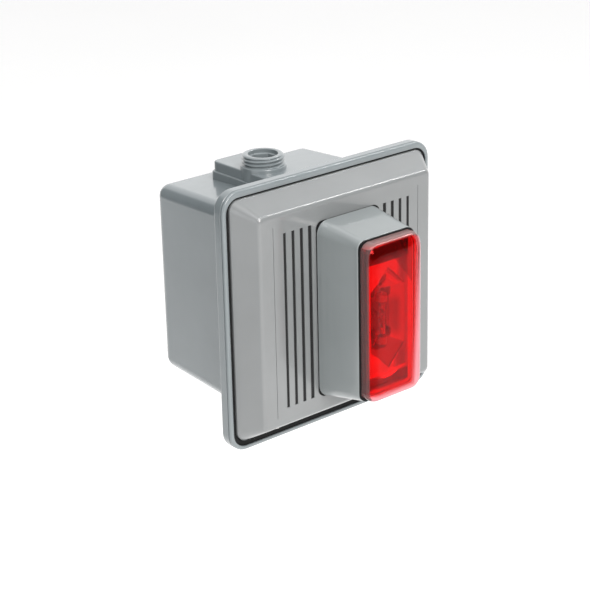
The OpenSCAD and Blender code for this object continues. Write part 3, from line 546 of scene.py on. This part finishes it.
def studio():
    # The floor ends on the left, so that the box's left side mirrors the gap in the tent
    half, left_edge, level_z = 6.0, -0.857, -0.42
    bm = bmesh.new()
    bmesh.ops.create_grid(bm, x_segments=1, y_segments=1, size=half / MM)
    floor = finish_mesh("studio_floor", bm)
    floor.location = (left_edge + half, 0, level_z)
    white = Nodes("studio white")
    tone = white.ramp(white.noise(2), (0.97, 0.97, 0.97), (0.99, 0.99, 0.99))
    white.link(tone, white.shader.inputs["Base Color"])
    white.set(Roughness=0.9, Emission_Color=(1, 1, 1, 1), Emission_Strength=0.16)
    floor.data.materials.append(white.mat)

    softbox("key_softbox", (0.3, 0.55, 1.5), (0.9, 0.7), 1.6)
    softbox("overhead_strip", (-0.1, -0.75, 1.1), (0.75, 0.15), 8.5)
    softbox("edge_softbox", (0.95, -0.3, 1.15), (0.1, 0.3), 3.0)
    softbox("left_softbox", (-1.7, -0.75, 0.5), (0.7, 0.9), 2.4, (0.97, 0.99, 1.0))
    softbox("front_softbox", (-0.42, -1.9, 0.95), (0.9, 0.7), 24.0, (1.0, 0.955, 0.92))

    # Light tent: white all round, greyer overhead, dark on the camera's side and in a gap at the back left
    world = bpy.data.worlds.new("light_tent")
    bpy.context.scene.world = world
    world.use_nodes = True
    tree = world.node_tree

    def math_node(operation, a, b, vector=False):
        node = tree.nodes.new("ShaderNodeVectorMath" if vector else "ShaderNodeMath")
        node.operation = operation
        for socket, value in zip(node.inputs, (a, b)):
            if isinstance(value, bpy.types.NodeSocket):
                tree.links.new(value, socket)
            else:
                socket.default_value = value
        return node.outputs["Value"]

    def ease(value, low, high, to_low=0.0, to_high=1.0):
        node = tree.nodes.new("ShaderNodeMapRange")
        node.interpolation_type = "SMOOTHSTEP"
        for name, number in (("From Min", low), ("From Max", high), ("To Min", to_low), ("To Max", to_high)):
            node.inputs[name].default_value = number
        tree.links.new(value, node.inputs["Value"])
        return node.outputs["Result"]

    direction = tree.nodes.new("ShaderNodeTexCoord").outputs["Generated"]
    gap_level, front_dimming, overhead_level, brightness = 0.03, 0.85, 0.78, 1.13
    toward_gap, ahead, height = (math_node("DOT_PRODUCT", direction, way, vector=True)
                                 for way in ((-0.66, 0.74, 0.1), (0, -1, 0), (0, 0, 1)))
    gap = ease(toward_gap, 0.72, 0.82, 1.0, gap_level)
    front = math_node("MULTIPLY", ease(ahead, 0.1, 0.5),
                      math_node("MULTIPLY", ease(height, -0.2, 0.0), ease(height, 0.75, 0.5)))
    camera_side = math_node("SUBTRACT", 1.0, math_node("MULTIPLY", front, front_dimming))
    overhead = ease(height, 0.45, 0.80, 1.0, overhead_level)
    tent = math_node("MULTIPLY", overhead, math_node("MULTIPLY", gap, camera_side))
    # Seen directly, the tent is white everywhere
    seen = tree.nodes.new("ShaderNodeLightPath").outputs["Is Camera Ray"]
    level = math_node("MULTIPLY", math_node("MAXIMUM", tent, seen), brightness)
    background = tree.nodes["Background"]
    tree.links.new(level, background.inputs["Strength"])
    background.inputs["Color"].default_value = (1, 1, 1, 1)
    bpy.context.scene.view_settings.view_transform = "Standard"


def softbox(name, where, size, power, colour=(1, 1, 1)):
    data = bpy.data.lights.new(name, "AREA")
    data.shape = "RECTANGLE"
    data.size, data.size_y = size
    data.energy = power
    data.color = colour
    light = bpy.data.objects.new(name, data)
    light.location = where
    light.rotation_euler = (Vector((0, -0.06, 0)) - light.location).to_track_quat("-Z", "Y").to_euler()
    bpy.context.scene.collection.objects.link(light)


def camera():
    az, el, roll = math.radians(-39.875), math.radians(21.383), math.radians(-1.322)
    back = Vector((math.sin(az) * math.cos(el), -math.cos(az) * math.cos(el), math.sin(el)))
    level = Vector((math.cos(az), math.sin(az), 0))
    above = back.cross(level)
    right = math.cos(roll) * level + math.sin(roll) * above
    up = math.cos(roll) * above - math.sin(roll) * level
    data = bpy.data.cameras.new("camera")
    data.sensor_width = 36
    data.lens = 109.28
    data.clip_start = 0.05
    data.clip_end = 20
    cam = bpy.data.objects.new("camera", data)
    turn = Matrix((right, up, back)).transposed()
    cam.matrix_world = Matrix.Translation(Vector((-0.5325, -0.6855, 0.3168))) @ turn.to_4x4()
    bpy.context.scene.collection.objects.link(cam)
    bpy.context.scene.camera = cam


camera()
studio()


# ---------------------------------------------------------------- back box

def box_ring(inset, radius, y, shrink=0.0):
    """Outline of the drafted box at y; inset is a wall thickness, shrink rounds the rear edge."""
    grow = BOX_DRAFT * -y / -FLANGE_BACK_Y
    return corner_ring(BOX_HALF_W + grow - inset - shrink, BOX_HALF_H + grow - inset - shrink,
                       max(radius - shrink, 0.8), y, cz=BOX_RISE)


def back_box():
    rings = []
    # Inside, from the rear wall forward
    inner_r = BOX_R - BOX_WALL
    for c, s in arc(5, 90, 0):
        rings.append(box_ring(BOX_WALL, inner_r + 1, -BOX_WALL - inner_r * (1 - s), inner_r * (1 - c)))
    rings.append(box_ring(BOX_WALL + 0.2, inner_r + 1, -69.6))
    mouth = (47.5, 46.95)
    rings.append(corner_ring(*mouth, 4, -69.8))
    rings.append(corner_ring(*mouth, 4, RECESS_Y))
    recess_r = FLANGE_R - 2.1
    rings.append(corner_ring(*RECESS_HALF, recess_r, RECESS_Y, cz=RECESS_UP))
    for grow, y in ((0, LIP_Y + 0.35), (0.1, LIP_Y + 0.1), (0.35, LIP_Y)):
        rings.append(corner_ring(RECESS_HALF[0] + grow, RECESS_HALF[1] + grow, recess_r + grow, y,
                                 cz=RECESS_UP))
    # Front bead, groove and back strip of the flange
    bead = 1.0
    flange = [(FLANGE_HALF - bead + bead * c, LIP_Y + bead - bead * s) for c, s in arc(5, 90, 0)]
    flange += [(FLANGE_HALF, -74.8), (FLANGE_HALF - 0.25, -74.6), (FLANGE_HALF - 0.7, -74.5),
               (FLANGE_HALF - 0.7, -74.2), (FLANGE_HALF - 0.25, -74.1), (FLANGE_HALF, -73.9)]
    back_round = 1.2
    flange += [(FLANGE_HALF - back_round + back_round * c, FLANGE_BACK_Y - back_round + back_round * s)
               for c, s in arc(5, 0, 90)]
    for half, y in flange:
        rings.append(corner_ring(half, half, FLANGE_R - (FLANGE_HALF - half), y))
    # Fillet from the flange's back to the box, the drafted sides and the round rear edge
    fillet = 1.6
    for c, s in arc(5, 270, 180):
        rings.append(box_ring(-fillet - fillet * c, BOX_R + fillet + fillet * c,
                              FLANGE_BACK_Y + fillet + fillet * s))
    for c, s in arc(8, 0, 90):
        rings.append(box_ring(0, BOX_R, -BOX_R + BOX_R * s, BOX_R * (1 - c)))
    return finish_mesh("back_box_shell", loft(rings))


def entry_pad():
    """Pad under the nipple: a low skirt, then the pad proper, both with round top edges."""
    rings = []
    front = FLANGE_BACK_Y - 1.0
    for half, top, rear in ((PAD_W / 2 + 0.8, PAD_TOP - 5.0, 0.8), (PAD_W / 2, PAD_TOP, 0.0)):
        back_y = PAD_BACK_Y + rear
        cy, hy = (front + back_y) / 2, (back_y - front) / 2
        edge = 0.6 if rear else 0.9
        low = 46.0 if rear else top - 5.0
        if rear:
            rings.append(flat_ring(half, hy, 3.0, low, PAD_X, cy))
        else:
            rings.append(flat_ring(half + 0.25, hy + 0.25, 3.2, low, PAD_X, cy))
            rings.append(flat_ring(half, hy, 3.0, low + 0.25, PAD_X, cy))
        for c, s in arc(6, 0, 90):
            rings.append(flat_ring(half - edge * (1 - c), hy - edge * (1 - c), 3.0 - edge * (1 - c) * 0.9,
                                   top - edge + edge * s, PAD_X, cy))
    return loft(rings)


def collar():
    edge = 0.5
    profile = [(ON_AXIS, 50), (COLLAR_R, 50), (COLLAR_R, COLLAR_TOP - edge)]
    profile += [(COLLAR_R - edge + edge * c, COLLAR_TOP - edge + edge * s) for c, s in arc(4, 0, 90)]
    profile += [(ON_AXIS, COLLAR_TOP)]
    return turned(profile, 96, "Z", (PAD_X, NIPPLE_Y, 0), closed=False)


def box_details(box):
    """Wall holes, bosses behind the flange, the nipple's hole and the posts inside."""
    for x in (-1, 1):
        for z in (-1, 1):
            carve(box, rod("Y", WALL_HOLE_R, -5, 1, x * WALL_HOLE_AT, z * WALL_HOLE_AT))
    for x in (-1, 1):
        carve(box, rod("Y", 4.0, FLANGE_BACK_Y - 2, -60.6, x * SCREW_X, SCREW_Z), "UNION")
    carve(box, rod("Z", SHANK_R + 0.05, 40, 70, PAD_X, NIPPLE_Y))
    for x in (-POST_AT, POST_AT):
        for z in (-POST_AT, POST_AT):
            carve(box, rod("Y", 4.5, -71.4, -1, x, z), "UNION")


def rod(axis, radius, low, high, u, v, steps=48):
    """Plain closed cylinder along Y at (x, z), or along Z at (x, y): a cutter or a boss."""
    centre = (u, 0, v) if axis == "Y" else (u, v, 0)
    profile = [(ON_AXIS, low), (radius, low), (radius, high), (ON_AXIS, high)]
    return turned(profile, steps, axis, centre, closed=False)


box = back_box()
carve(box, entry_pad(), "UNION")
carve(box, collar(), "UNION")
box_details(box)
smooth(box, 30)
weigh(box)
place(box, "base", "grey_paint", M["box_paint"], "back_box")


# ---------------------------------------------------------------- conduit nipple

def thread_radius(z, turn):
    """Radius of a V thread with flat crests at height z, turn being the angle in turns."""
    groove_depth, groove_share, chamfer_h, chamfer_slope = 0.95, 0.78, 0.95, 0.9
    phase = ((z - NIPPLE_TOP + 1.2) / THREAD_PITCH - turn) % 1.0
    depth = groove_depth * (1 - min(1.0, abs(phase - 0.5) * 2 / groove_share))
    chamfer = max(0.0, z - (NIPPLE_TOP - chamfer_h)) * chamfer_slope
    return NIPPLE_R - max(depth, chamfer)


def hexagon_radius(turn):
    """Radius of the hexagonal part of the bore, its corners cut off round."""
    half_flats, corner_r = 6.2, 7.1
    sector = (2 * math.pi * turn + math.pi / 6) % (math.pi / 3) - math.pi / 6
    return min(half_flats / math.cos(sector), corner_r)


def nipple():
    steps, rows = 120, 56
    low, rim_z = 41.8, NIPPLE_TOP - 0.3
    rings = []

    def ring(z, radius_at):
        turns = [i / steps for i in range(steps)]
        rings.append([(PAD_X + radius_at(t) * math.cos(2 * math.pi * t),
                       NIPPLE_Y + radius_at(t) * math.sin(2 * math.pi * t), z) for t in turns])

    for z in (low, COLLAR_TOP - 0.01):
        ring(z, lambda t: SHANK_R)
    for k in range(rows + 1):
        z = COLLAR_TOP + (rim_z - COLLAR_TOP) * k / rows
        ring(z, lambda t: thread_radius(z, t))
    # Round rim, then down the bore to the hexagon
    rim_out = NIPPLE_R - 0.86
    mid, half = (rim_out + NIPPLE_BORE) / 2, (rim_out - NIPPLE_BORE) / 2
    for c, s in arc(6, 0, 180):
        ring(rim_z + 0.28 * s, lambda t: mid + half * c)
    ring(NIPPLE_TOP - 2.0, lambda t: NIPPLE_BORE)
    for z in (NIPPLE_TOP - 2.5, low):
        ring(z, hexagon_radius)
    obj = finish_mesh("threaded_nipple", loft(rings, closed=True), 28)
    return place(obj, "base", "grey_paint", M["box_paint"], "conduit_nipple")


nipple()


# ---------------------------------------------------------------- cover

def cover_rings(inset, back_y, face_y, crest, base_r, face_r):
    """Rings of the bevelled cover, back to front; crest is the radius between bevel and face."""
    rings = []

    def ring(lean, radius, y):
        less = inset + lean
        rings.append(corner_ring(COVER_HALF[0] - less, COVER_HALF[1] - less, radius, y, cz=COVER_UP))

    ring(0, base_r, back_y)
    slope = math.atan2(LIP_Y - face_y, BEVEL_IN)
    foot = 1.1 if inset == 0 else 0.5
    # Small round where the wall meets the bevel
    reach = foot * math.tan((math.pi / 2 - slope) / 2)
    for k in range(4):
        a = (math.pi / 2 - slope) * k / 3
        ring(foot * (1 - math.cos(a)), base_r, LIP_Y + reach - foot * math.sin(a))
    # Round crest between bevel and face
    reach = crest * math.tan(slope / 2)
    steps = 7
    for k in range(steps + 1):
        a = slope * (1 - k / steps)
        ring(BEVEL_IN + reach - crest * math.sin(a), base_r + (face_r - base_r) * (0.75 + 0.25 * k / steps),
             face_y + crest * (1 - math.cos(a)))
    return rings


def slots(side):
    """Middle and half width of the sound slots on one side, each a little narrower than the last."""
    return [(side * (SLOT_X + SLOT_STEP * i), (SLOT_W - SLOT_NARROWING * i) / 2) for i in range(4)]


def front_cover():
    outer = cover_rings(0.0, COVER_BACK_Y, FACE_Y, 2.6, COVER_R, 1.8)
    inner = cover_rings(COVER_WALL, COVER_BACK_Y, FACE_Y + COVER_WALL, 0.8, 3.2, 1.5)
    obj = finish_mesh("cover_shell", loft(inner[::-1] + outer))
    # Round seats for the two cover screws in the lower bevel
    seat = merged([rod("Y", POCKET_R + 1.3, FACE_Y + 4, BOSS_BACK_Y, side * SCREW_X, SCREW_Z)
                   for side in (-1, 1)])
    within = 0.3
    limit = finish_mesh("limit", loft(cover_rings(within, COVER_BACK_Y, FACE_Y + within, 2.4,
                                                  COVER_R - within, 1.6)))
    bosses = carve(finish_mesh("bosses", seat), from_object(limit), "INTERSECT")
    carve(obj, from_object(bosses), "UNION")
    cuts = []
    clearance_r, retainer_r = 1.85, 2.8
    for side in (-1, 1):
        pocket = [(ON_AXIS, FACE_Y - 1), (POCKET_R, FACE_Y - 1), (POCKET_R, POCKET_Y), (clearance_r, POCKET_Y),
                  (clearance_r, BOSS_BACK_Y), (retainer_r, BOSS_BACK_Y), (retainer_r, -72), (ON_AXIS, -72)]
        cuts.append(turned(pocket, 48, "Y", (side * SCREW_X, 0, SCREW_Z), closed=False))
        for x, half in slots(side):
            cuts.append(box_mesh((x - half, FACE_Y - 1, -SLOT_HALF_H),
                                 (x + half, FACE_Y + COVER_WALL + 1, SLOT_HALF_H)))
        x = side * SCORE_LINE_X
        cuts.append(box_mesh((x - 0.14, FACE_Y - 1, -48), (x + 0.14, FACE_Y + 0.25, 48)))
    cuts.append(rod("Y", LEAD_HOLE[0], FACE_Y - 1, FACE_Y + COVER_WALL + 1, 0, LEAD_HOLE[1]))
    carve(obj, merged(cuts))
    soften(obj, 0.18, 2, 60)
    weigh(obj)
    return place(obj, "cover_unit", "grey_paint", M["cover_paint"], "front_cover")


def dust_screens():
    """Woven sheets behind the slots, pressed a little way into them, so that their black also serves as painted
    shade in the slots.
    """
    parts = []
    back = FACE_Y + COVER_WALL + 0.9
    side_gap, end_gap = 0.03, 0.1
    for side in (-1, 1):
        mid = side * (SLOT_X + SLOT_STEP * 1.5)
        parts.append(box_mesh((mid - 10.1, FACE_Y + COVER_WALL + 0.05, -46), (mid + 10.1, back, 46)))
        # Black ribs in the slots: a real screen part, and painted shade for the slots' depths
        for x, half in slots(side):
            parts.append(box_mesh((x - half + side_gap, FACE_Y + 0.45, end_gap - SLOT_HALF_H),
                                  (x + half - side_gap, back, SLOT_HALF_H - end_gap)))
    obj = finish_mesh("woven_screens", merged(parts))
    return place(obj, "cover_unit", "black_plastic", screen_material(), "dust_screens")


front_cover()
dust_screens()


# ---------------------------------------------------------------- strobe housing and lens

def housing_ring(t, inset, radius, y, shrink=0.0):
    """Outline of the housing at t from its foot (0) to its front (1)."""
    w = HOUSING_BASE[0] + (HOUSING_FRONT[0] - HOUSING_BASE[0]) * t
    h = HOUSING_BASE[1] + (HOUSING_FRONT[1] - HOUSING_BASE[1]) * t
    return corner_ring(w - inset - shrink, h - inset - shrink, radius, y, cz=LENS_RISE * t)


def strobe_housing():
    depth = HOUSING_FRONT_Y - HOUSING_BASE_Y
    rings = [housing_ring(0, 0.35, 6.2, HOUSING_BASE_Y), housing_ring(0, 0.0, 6.5, HOUSING_BASE_Y - 0.4)]
    steps = 6
    for k in range(1, steps + 1):
        t = k / steps * 0.96
        rings.append(housing_ring(t, 0, 6.5 - 2.0 * t, HOUSING_BASE_Y + depth * t))
    edge = 0.7
    for c, s in arc(4, 0, 90):
        rings.append(housing_ring(1, 0, 4.5, HOUSING_FRONT_Y + edge - edge * s, edge * (1 - c)))
    wall, opening = 2.2, (13.8, 36.5, 3.0)
    for y in (HOUSING_FRONT_Y, HOUSING_FRONT_Y + wall):
        rings.append(corner_ring(*opening, y, cz=LENS_RISE))
    rings.append(housing_ring(0.92, wall, 3.0, HOUSING_FRONT_Y + wall))
    rings.append(housing_ring(0, wall, 4.0, HOUSING_BASE_Y))
    obj = finish_mesh("housing_shell", loft(rings, closed=True))
    weigh(obj)
    return place(obj, "cover_unit", "grey_paint", M["housing_paint"], "strobe_housing")


def lens_rings(inset, base_y, front_y, edge, base_r, front_r):
    """Rings of the lens from its base to its front; the top falls back further than the bottom."""
    rings = [corner_ring(LENS_HALF[0] - inset, LENS_HALF[1] - inset, base_r, base_y, cz=LENS_RISE)]
    for c, s in arc(10, 0, 90):
        lean = edge * (1 - c)
        radius = base_r + (front_r - base_r) * (1 - c) - lean * 0.35
        brow = LENS_BROW * (1 - c)
        rings.append(corner_ring(LENS_HALF[0] - inset - lean, LENS_HALF[1] - inset - lean - brow, radius,
                                 front_y + edge - edge * s, cz=LENS_RISE - brow))
    return rings


def strobe_lens():
    outer = lens_rings(0.0, LENS_BASE_Y, LENS_FRONT_Y, 4.4, 5.0, 9.0)
    inner = lens_rings(LENS_WALL, LENS_BASE_Y, LENS_FRONT_Y + LENS_WALL, 3.8, 3.6, 8.0)
    obj = finish_mesh("red_lens", loft(inner[::-1] + outer))
    weigh(obj)
    return place(obj, "cover_unit", "red_lens", M["red_lens"], "strobe_lens")


def pointed_ring(size, y, cz):
    """Upright six-sided outline, pointed at the top and the bottom."""
    w, h, point = size[0] / 2, size[1] / 2, size[2]
    corners = [(0, h), (-w, h - point), (-w, point - h), (0, -h), (w, point - h), (w, h - point)]
    return [(x, y, cz + z) for x, z in corners]


DISH_Z = -0.5
DISH_FRONT = (21.4, 52.0, 11.0)
DISH_FLOOR = (8.0, 31.0, 4.0)
DISH_Y = -105.2


def end_facet(end, inset):
    """Wedge behind the plate at one end: its floor leans away from the middle."""
    near, far, deep = 26.6 + inset, 36.3 - inset, 4.4
    half = 13.2 - inset
    front = LENS_BASE_Y + (0.4 if inset == 0 else -0.5)
    section = [(front, near), (front, far),
               (LENS_BASE_Y + deep - inset, far), (LENS_BASE_Y + 0.5 - inset / 2, near)]
    return loft([[(x, y, LENS_RISE + end * z) for y, z in section] for x in (-half, half)])


def reflector():
    """Bright plate with a faceted dish: the dish's mouth is cut from the plate, edges slightly round."""
    wall = 0.8

    def thinner(size):
        return size[0] - 2 * wall, size[1] - 2 * wall, size[2] - wall

    obj = finish_mesh("faceted_reflector",
                      loft([corner_ring(15.5, 38.5, 3.0, LENS_BASE_Y + 1, cz=LENS_RISE),
                            corner_ring(15.5, 38.5, 3.0, LENS_BASE_Y, cz=LENS_RISE)]))
    outer = loft([pointed_ring(DISH_FRONT, LENS_BASE_Y + 0.5, DISH_Z),
                  pointed_ring(DISH_FLOOR, DISH_Y, DISH_Z)])
    carve(obj, outer, "UNION")
    carve(obj, merged([end_facet(s, 0.0) for s in (-1, 1)]), "UNION")
    mouth = (DISH_FRONT[0] + 0.1, DISH_FRONT[1] + 0.1, DISH_FRONT[2])
    inner = loft([pointed_ring(mouth, LENS_BASE_Y - 0.6, DISH_Z),
                  pointed_ring(thinner(DISH_FRONT), LENS_BASE_Y + wall, DISH_Z),
                  pointed_ring(thinner(DISH_FLOOR), DISH_Y - wall, DISH_Z)])
    carve(obj, inner)
    carve(obj, merged([end_facet(s, wall) for s in (-1, 1)]))
    soften(obj, 0.25, 2, 12)
    weigh(obj)
    return place(obj, "cover_unit", "bright_reflector", M["bright_reflector"], "reflector")


strobe_housing()
strobe_lens()
reflector()


# ---------------------------------------------------------------- screws

def screw(x, z, seat_y, head_r, head_h, r, length, sign=1):
    """Pan head with a driver slot and a threaded shank; sign 1 puts the head in front of seat_y."""
    dome = [(head_r * c, -head_h * (0.35 + 0.65 * h)) for c, h in arc(6, 0, 90)]
    pitch = 0.7
    shank = []
    for k in range(int((length - 1.0) / pitch)):
        low = length - 0.5 - k * pitch
        shank += [(r - 0.28, low), (r, low - pitch / 2)]
    profile = [(ON_AXIS, length), (r - 0.5, length)] + shank + [(r, 0.0), (head_r, 0.0)]
    profile += dome[:-1] + [(ON_AXIS, -head_h)]
    obj = finish_mesh("screw", turned([(v, seat_y + sign * h) for v, h in profile], 32, "Y", (x, 0, z),
                                      closed=False))
    slot_half = head_r * 0.14
    low, high = sorted((seat_y - sign * head_h * 0.45, seat_y - sign * (head_h + 1)))
    carve(obj, box_mesh((x - head_r - 1, low, z - slot_half), (x + head_r + 1, high, z + slot_half)))
    return from_object(obj)


def screw_set(node, body, slot, places, *sizes, sign=1):
    obj = finish_mesh(node + "_detail", merged([screw(x, z, *sizes, sign=sign) for x, z in places]), 30)
    return place(obj, body, slot, M[slot], node)


def corners(half_w, half_h):
    return [(x * half_w, z * half_h) for x in (-1, 1) for z in (-1, 1)]


RING_SCREWS_R = 34.5
RING = [(RING_SCREWS_R * math.cos(math.radians(a)), RING_SCREWS_R * math.sin(math.radians(a)))
        for a in range(30, 390, 60)]

# Each ends with its seat, head radius, head height, shank radius and shank length
screw_set("base_plate_screws", "base", "zinc_steel", corners(POST_AT, POST_AT), -72.6, 3.0, 2.2, 1.5, 11)
screw_set("ring_screws", "base", "zinc_steel", RING, -75.4, 2.3, 1.6, 1.25, 4.0)
screw_set("ground_screw", "base", "green_screw", [(-26, 14)], -12, 3.5, 2.4, 1.5, 6)
screw_set("cover_screws", "cover_unit", "zinc_steel", [(-SCREW_X, SCREW_Z), (SCREW_X, SCREW_Z)],
          POCKET_Y, 2.9, 2.0, 1.75, 14)
screw_set("housing_screws", "cover_unit", "zinc_steel", corners(14, 38.6),
          FACE_Y + COVER_WALL, 2.7, 2.0, 1.45, 9.9, sign=-1)


# ---------------------------------------------------------------- inside the horn

def diaphragm():
    """Thin steel disc with three pressed rings and a flat centre."""
    back, thick, wave_h = -73.4, 0.4, 0.35
    waves = [(13 + k * 0.5, wave_h * (1 - math.cos(2 * math.pi * k / 10)) / 2) for k in range(31)]
    front = [(39, 0.0), (30, 0.0)] + waves[::-1] + [(12, 0.0), (ON_AXIS, 0.0)]
    profile = [(r, back - thick - up) for r, up in front] + [(r, back - up) for r, up in front[::-1]]
    obj = finish_mesh("pressed_diaphragm", turned(profile[::-1], 128, "Y", closed=True), 40)
    carve(obj, merged([rod("Y", 1.5, back - 2, back + 2, x, z, 24) for x, z in RING]))
    return place(obj, "base", "plain_steel", M["plain_steel"], "diaphragm")


def coil_winding():
    """Layer of enamelled wire: one ridge to each turn."""
    low, high, pitch = -58.5, -41.5, 0.5
    turns = int((high - low) / pitch)
    outside = []
    for k in range(turns):
        y = low + k * pitch
        outside += [(11.82, y), (12.0, y + pitch * 0.3), (12.0, y + pitch * 0.7)]
    profile = [(5.5, low)] + outside + [(11.82, high), (5.5, high)]
    obj = finish_mesh("wound_coil", turned(profile, 72, "Y", (-3, 0, 0), closed=True), 60)
    return place(obj, "base", "copper_winding", M["copper_winding"], "coil_winding")


def storage_capacitor():
    """Sleeved can: rolled groove near one end, crimped rim and a scored vent at the other."""
    x, y, r, low, high = -8.2, -96.4, 5.4, -24.0, 8.0
    profile = [(ON_AXIS, low - 0.6), (4.4, low - 0.6), (4.7, low - 0.4), (4.7, low), (5.1, low), (r, low + 0.4)]
    profile += [(r, low + 2.2), (4.9, low + 2.8), (4.9, low + 3.2), (r, low + 3.8)]
    profile += [(r, high - 0.5), (5.1, high), (4.7, high), (4.7, high + 0.35)]
    profile += [(4.5, high + 0.6), (3.9, high + 0.6), (3.8, high + 0.3), (ON_AXIS, high + 0.3)]
    obj = finish_mesh("sleeved_can", turned(profile, 64, "Z", (x, y, 0), closed=False), 40)
    for half_x, half_y in ((3.2, 0.1), (0.1, 3.2)):
        carve(obj, box_mesh((x - half_x, y - half_y, high + 0.15), (x + half_x, y + half_y, high + 1)))
    return place(obj, "cover_unit", "blue_sleeve", M["blue_sleeve"], "storage_capacitor")


def return_spring():
    """Leaf spring: its foot stands on the base plate and its tip presses on the armature."""
    leaf = [((-22, -52), (-21.6, -52)), ((-22, -58), (-21.6, -57.8)),
            ((-18.5, -61.7), (-18, -61.2)), ((-13, -61.95), (-13, -61.6))]
    half, steps = 3, 8
    rings = []
    for (a, b), (c, d) in zip(leaf, leaf[1:]):
        for k in range(steps + (c == leaf[-1][0])):
            front, back = (Vector(u).lerp(Vector(v), k / steps) for u, v in ((a, c), (b, d)))
            rings.append([(*front, -half), (*front, half), (*back, half), (*back, -half)])
    obj = finish_mesh("leaf_spring", loft(rings), 25)
    obj.data.materials.append(M["brass"])
    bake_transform(obj)
    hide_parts("return_spring")


# ---------------------------------------------------------------- flash tube

def sweep(points, radius, sides=12):
    """Round wire along a list of points, carried without twist."""
    pts = [Vector(p) for p in points]
    last = len(pts) - 1
    tangents = [(pts[min(i + 1, last)] - pts[max(i - 1, 0)]).normalized() for i in range(last + 1)]
    across = tangents[0].cross(Vector((0.3, 0.5, 0.81))).normalized()
    rings = []
    for p, t in zip(pts, tangents):
        across = (across - across.dot(t) * t).normalized()
        other = t.cross(across)
        rings.append([tuple(p + radius * (math.cos(a) * across + math.sin(a) * other))
                      for a in (2 * math.pi * k / sides for k in range(sides))])
    return loft(rings)


TUBE_Y = -110.4
TUBE_R = 2.0
LEAD_GAP = 13.4
BOARD_Y = -103.4


def flash_tube():
    """Hollow glass tube with drawn-in ends."""
    half, bore, shoulder = 10.0, 1.35, 0.7
    outer = [(TUBE_R, 0)] + [(TUBE_R - shoulder + shoulder * c, half - shoulder + shoulder * s)
                             for c, s in arc(5, 0, 90)]
    inner = [(ON_AXIS, half - 1.6)] + [(bore * s, half - 2.4 + 0.8 * c) for c, s in arc(4, 0, 90)][1:]
    below = [(r, TUBE_Z - h) for r, h in outer[::-1]]
    above = [(r, TUBE_Z + h) for r, h in outer[1:]]
    profile = [(ON_AXIS, TUBE_Z - half)] + below + above + [(ON_AXIS, TUBE_Z + half)]
    hollow = [(r, TUBE_Z + h) for r, h in inner] + [(r, TUBE_Z - h) for r, h in inner[::-1]]
    obj = finish_mesh("glass_tube", turned(profile, 48, "Z", (0, TUBE_Y, 0), closed=False))
    carve(obj, turned(hollow, 48, "Z", (0, TUBE_Y, 0), closed=False))
    smooth(obj, 40)
    return place(obj, "cover_unit", "clear_glass", M["clear_glass"], "flash_tube")


def tube_leads():
    """Stiff leads from the tube's ends to the board, with the electrodes seen inside the glass."""
    parts = []
    for sign in (-1, 1):
        end = TUBE_Z + sign * LEAD_GAP
        parts.append(sweep([(0, TUBE_Y, TUBE_Z + sign * 9), (0, TUBE_Y, TUBE_Z + sign * 12.2),
                            (0, TUBE_Y + 0.2, TUBE_Z + sign * 12.9), (0, TUBE_Y + 0.8, end - sign * 0.1),
                            (0, TUBE_Y + 2.0, end), (0, BOARD_Y, end)], 0.4))
        low, high = sorted((TUBE_Z + sign * 4.9, TUBE_Z + sign * 8.2))
        electrode = [(ON_AXIS, low), (0.8, low), (0.95, low + 0.2),
                     (0.95, high - 0.2), (0.8, high), (ON_AXIS, high)]
        parts.append(turned(electrode, 32, "Z", (0, TUBE_Y, 0), closed=False))
    obj = finish_mesh("leads_and_electrodes", merged(parts), 40)
    return place(obj, "cover_unit", "plain_steel", M["plain_steel"], "tube_leads")


def trigger_wire():
    """Fine wire coiled round the tube, its tail led to the board."""
    turns, per = 4, 24
    r = TUBE_R + 0.22
    coil = [(r * math.sin(2 * math.pi * i / per), TUBE_Y - r * math.cos(2 * math.pi * i / per),
             TUBE_Z - 3 + 6 * i / (per * turns)) for i in range(per * turns + 1)]
    tail = [(1.6, TUBE_Y - 1.2, TUBE_Z + 3), (2.3, TUBE_Y + 0.2, TUBE_Z + 2.6),
            (2.1, TUBE_Y + 1.8, TUBE_Z + 1.2), (2.0, TUBE_Y + 3.0, TUBE_Z), (2.0, BOARD_Y, TUBE_Z)]
    obj = finish_mesh("coiled_wire", sweep(coil + tail, 0.17, 8), 50)
    return place(obj, "cover_unit", "plain_steel", M["plain_steel"], "trigger_wire")


diaphragm()
return_spring()
coil_winding()
storage_capacitor()
flash_tube()
tube_leads()
trigger_wire()
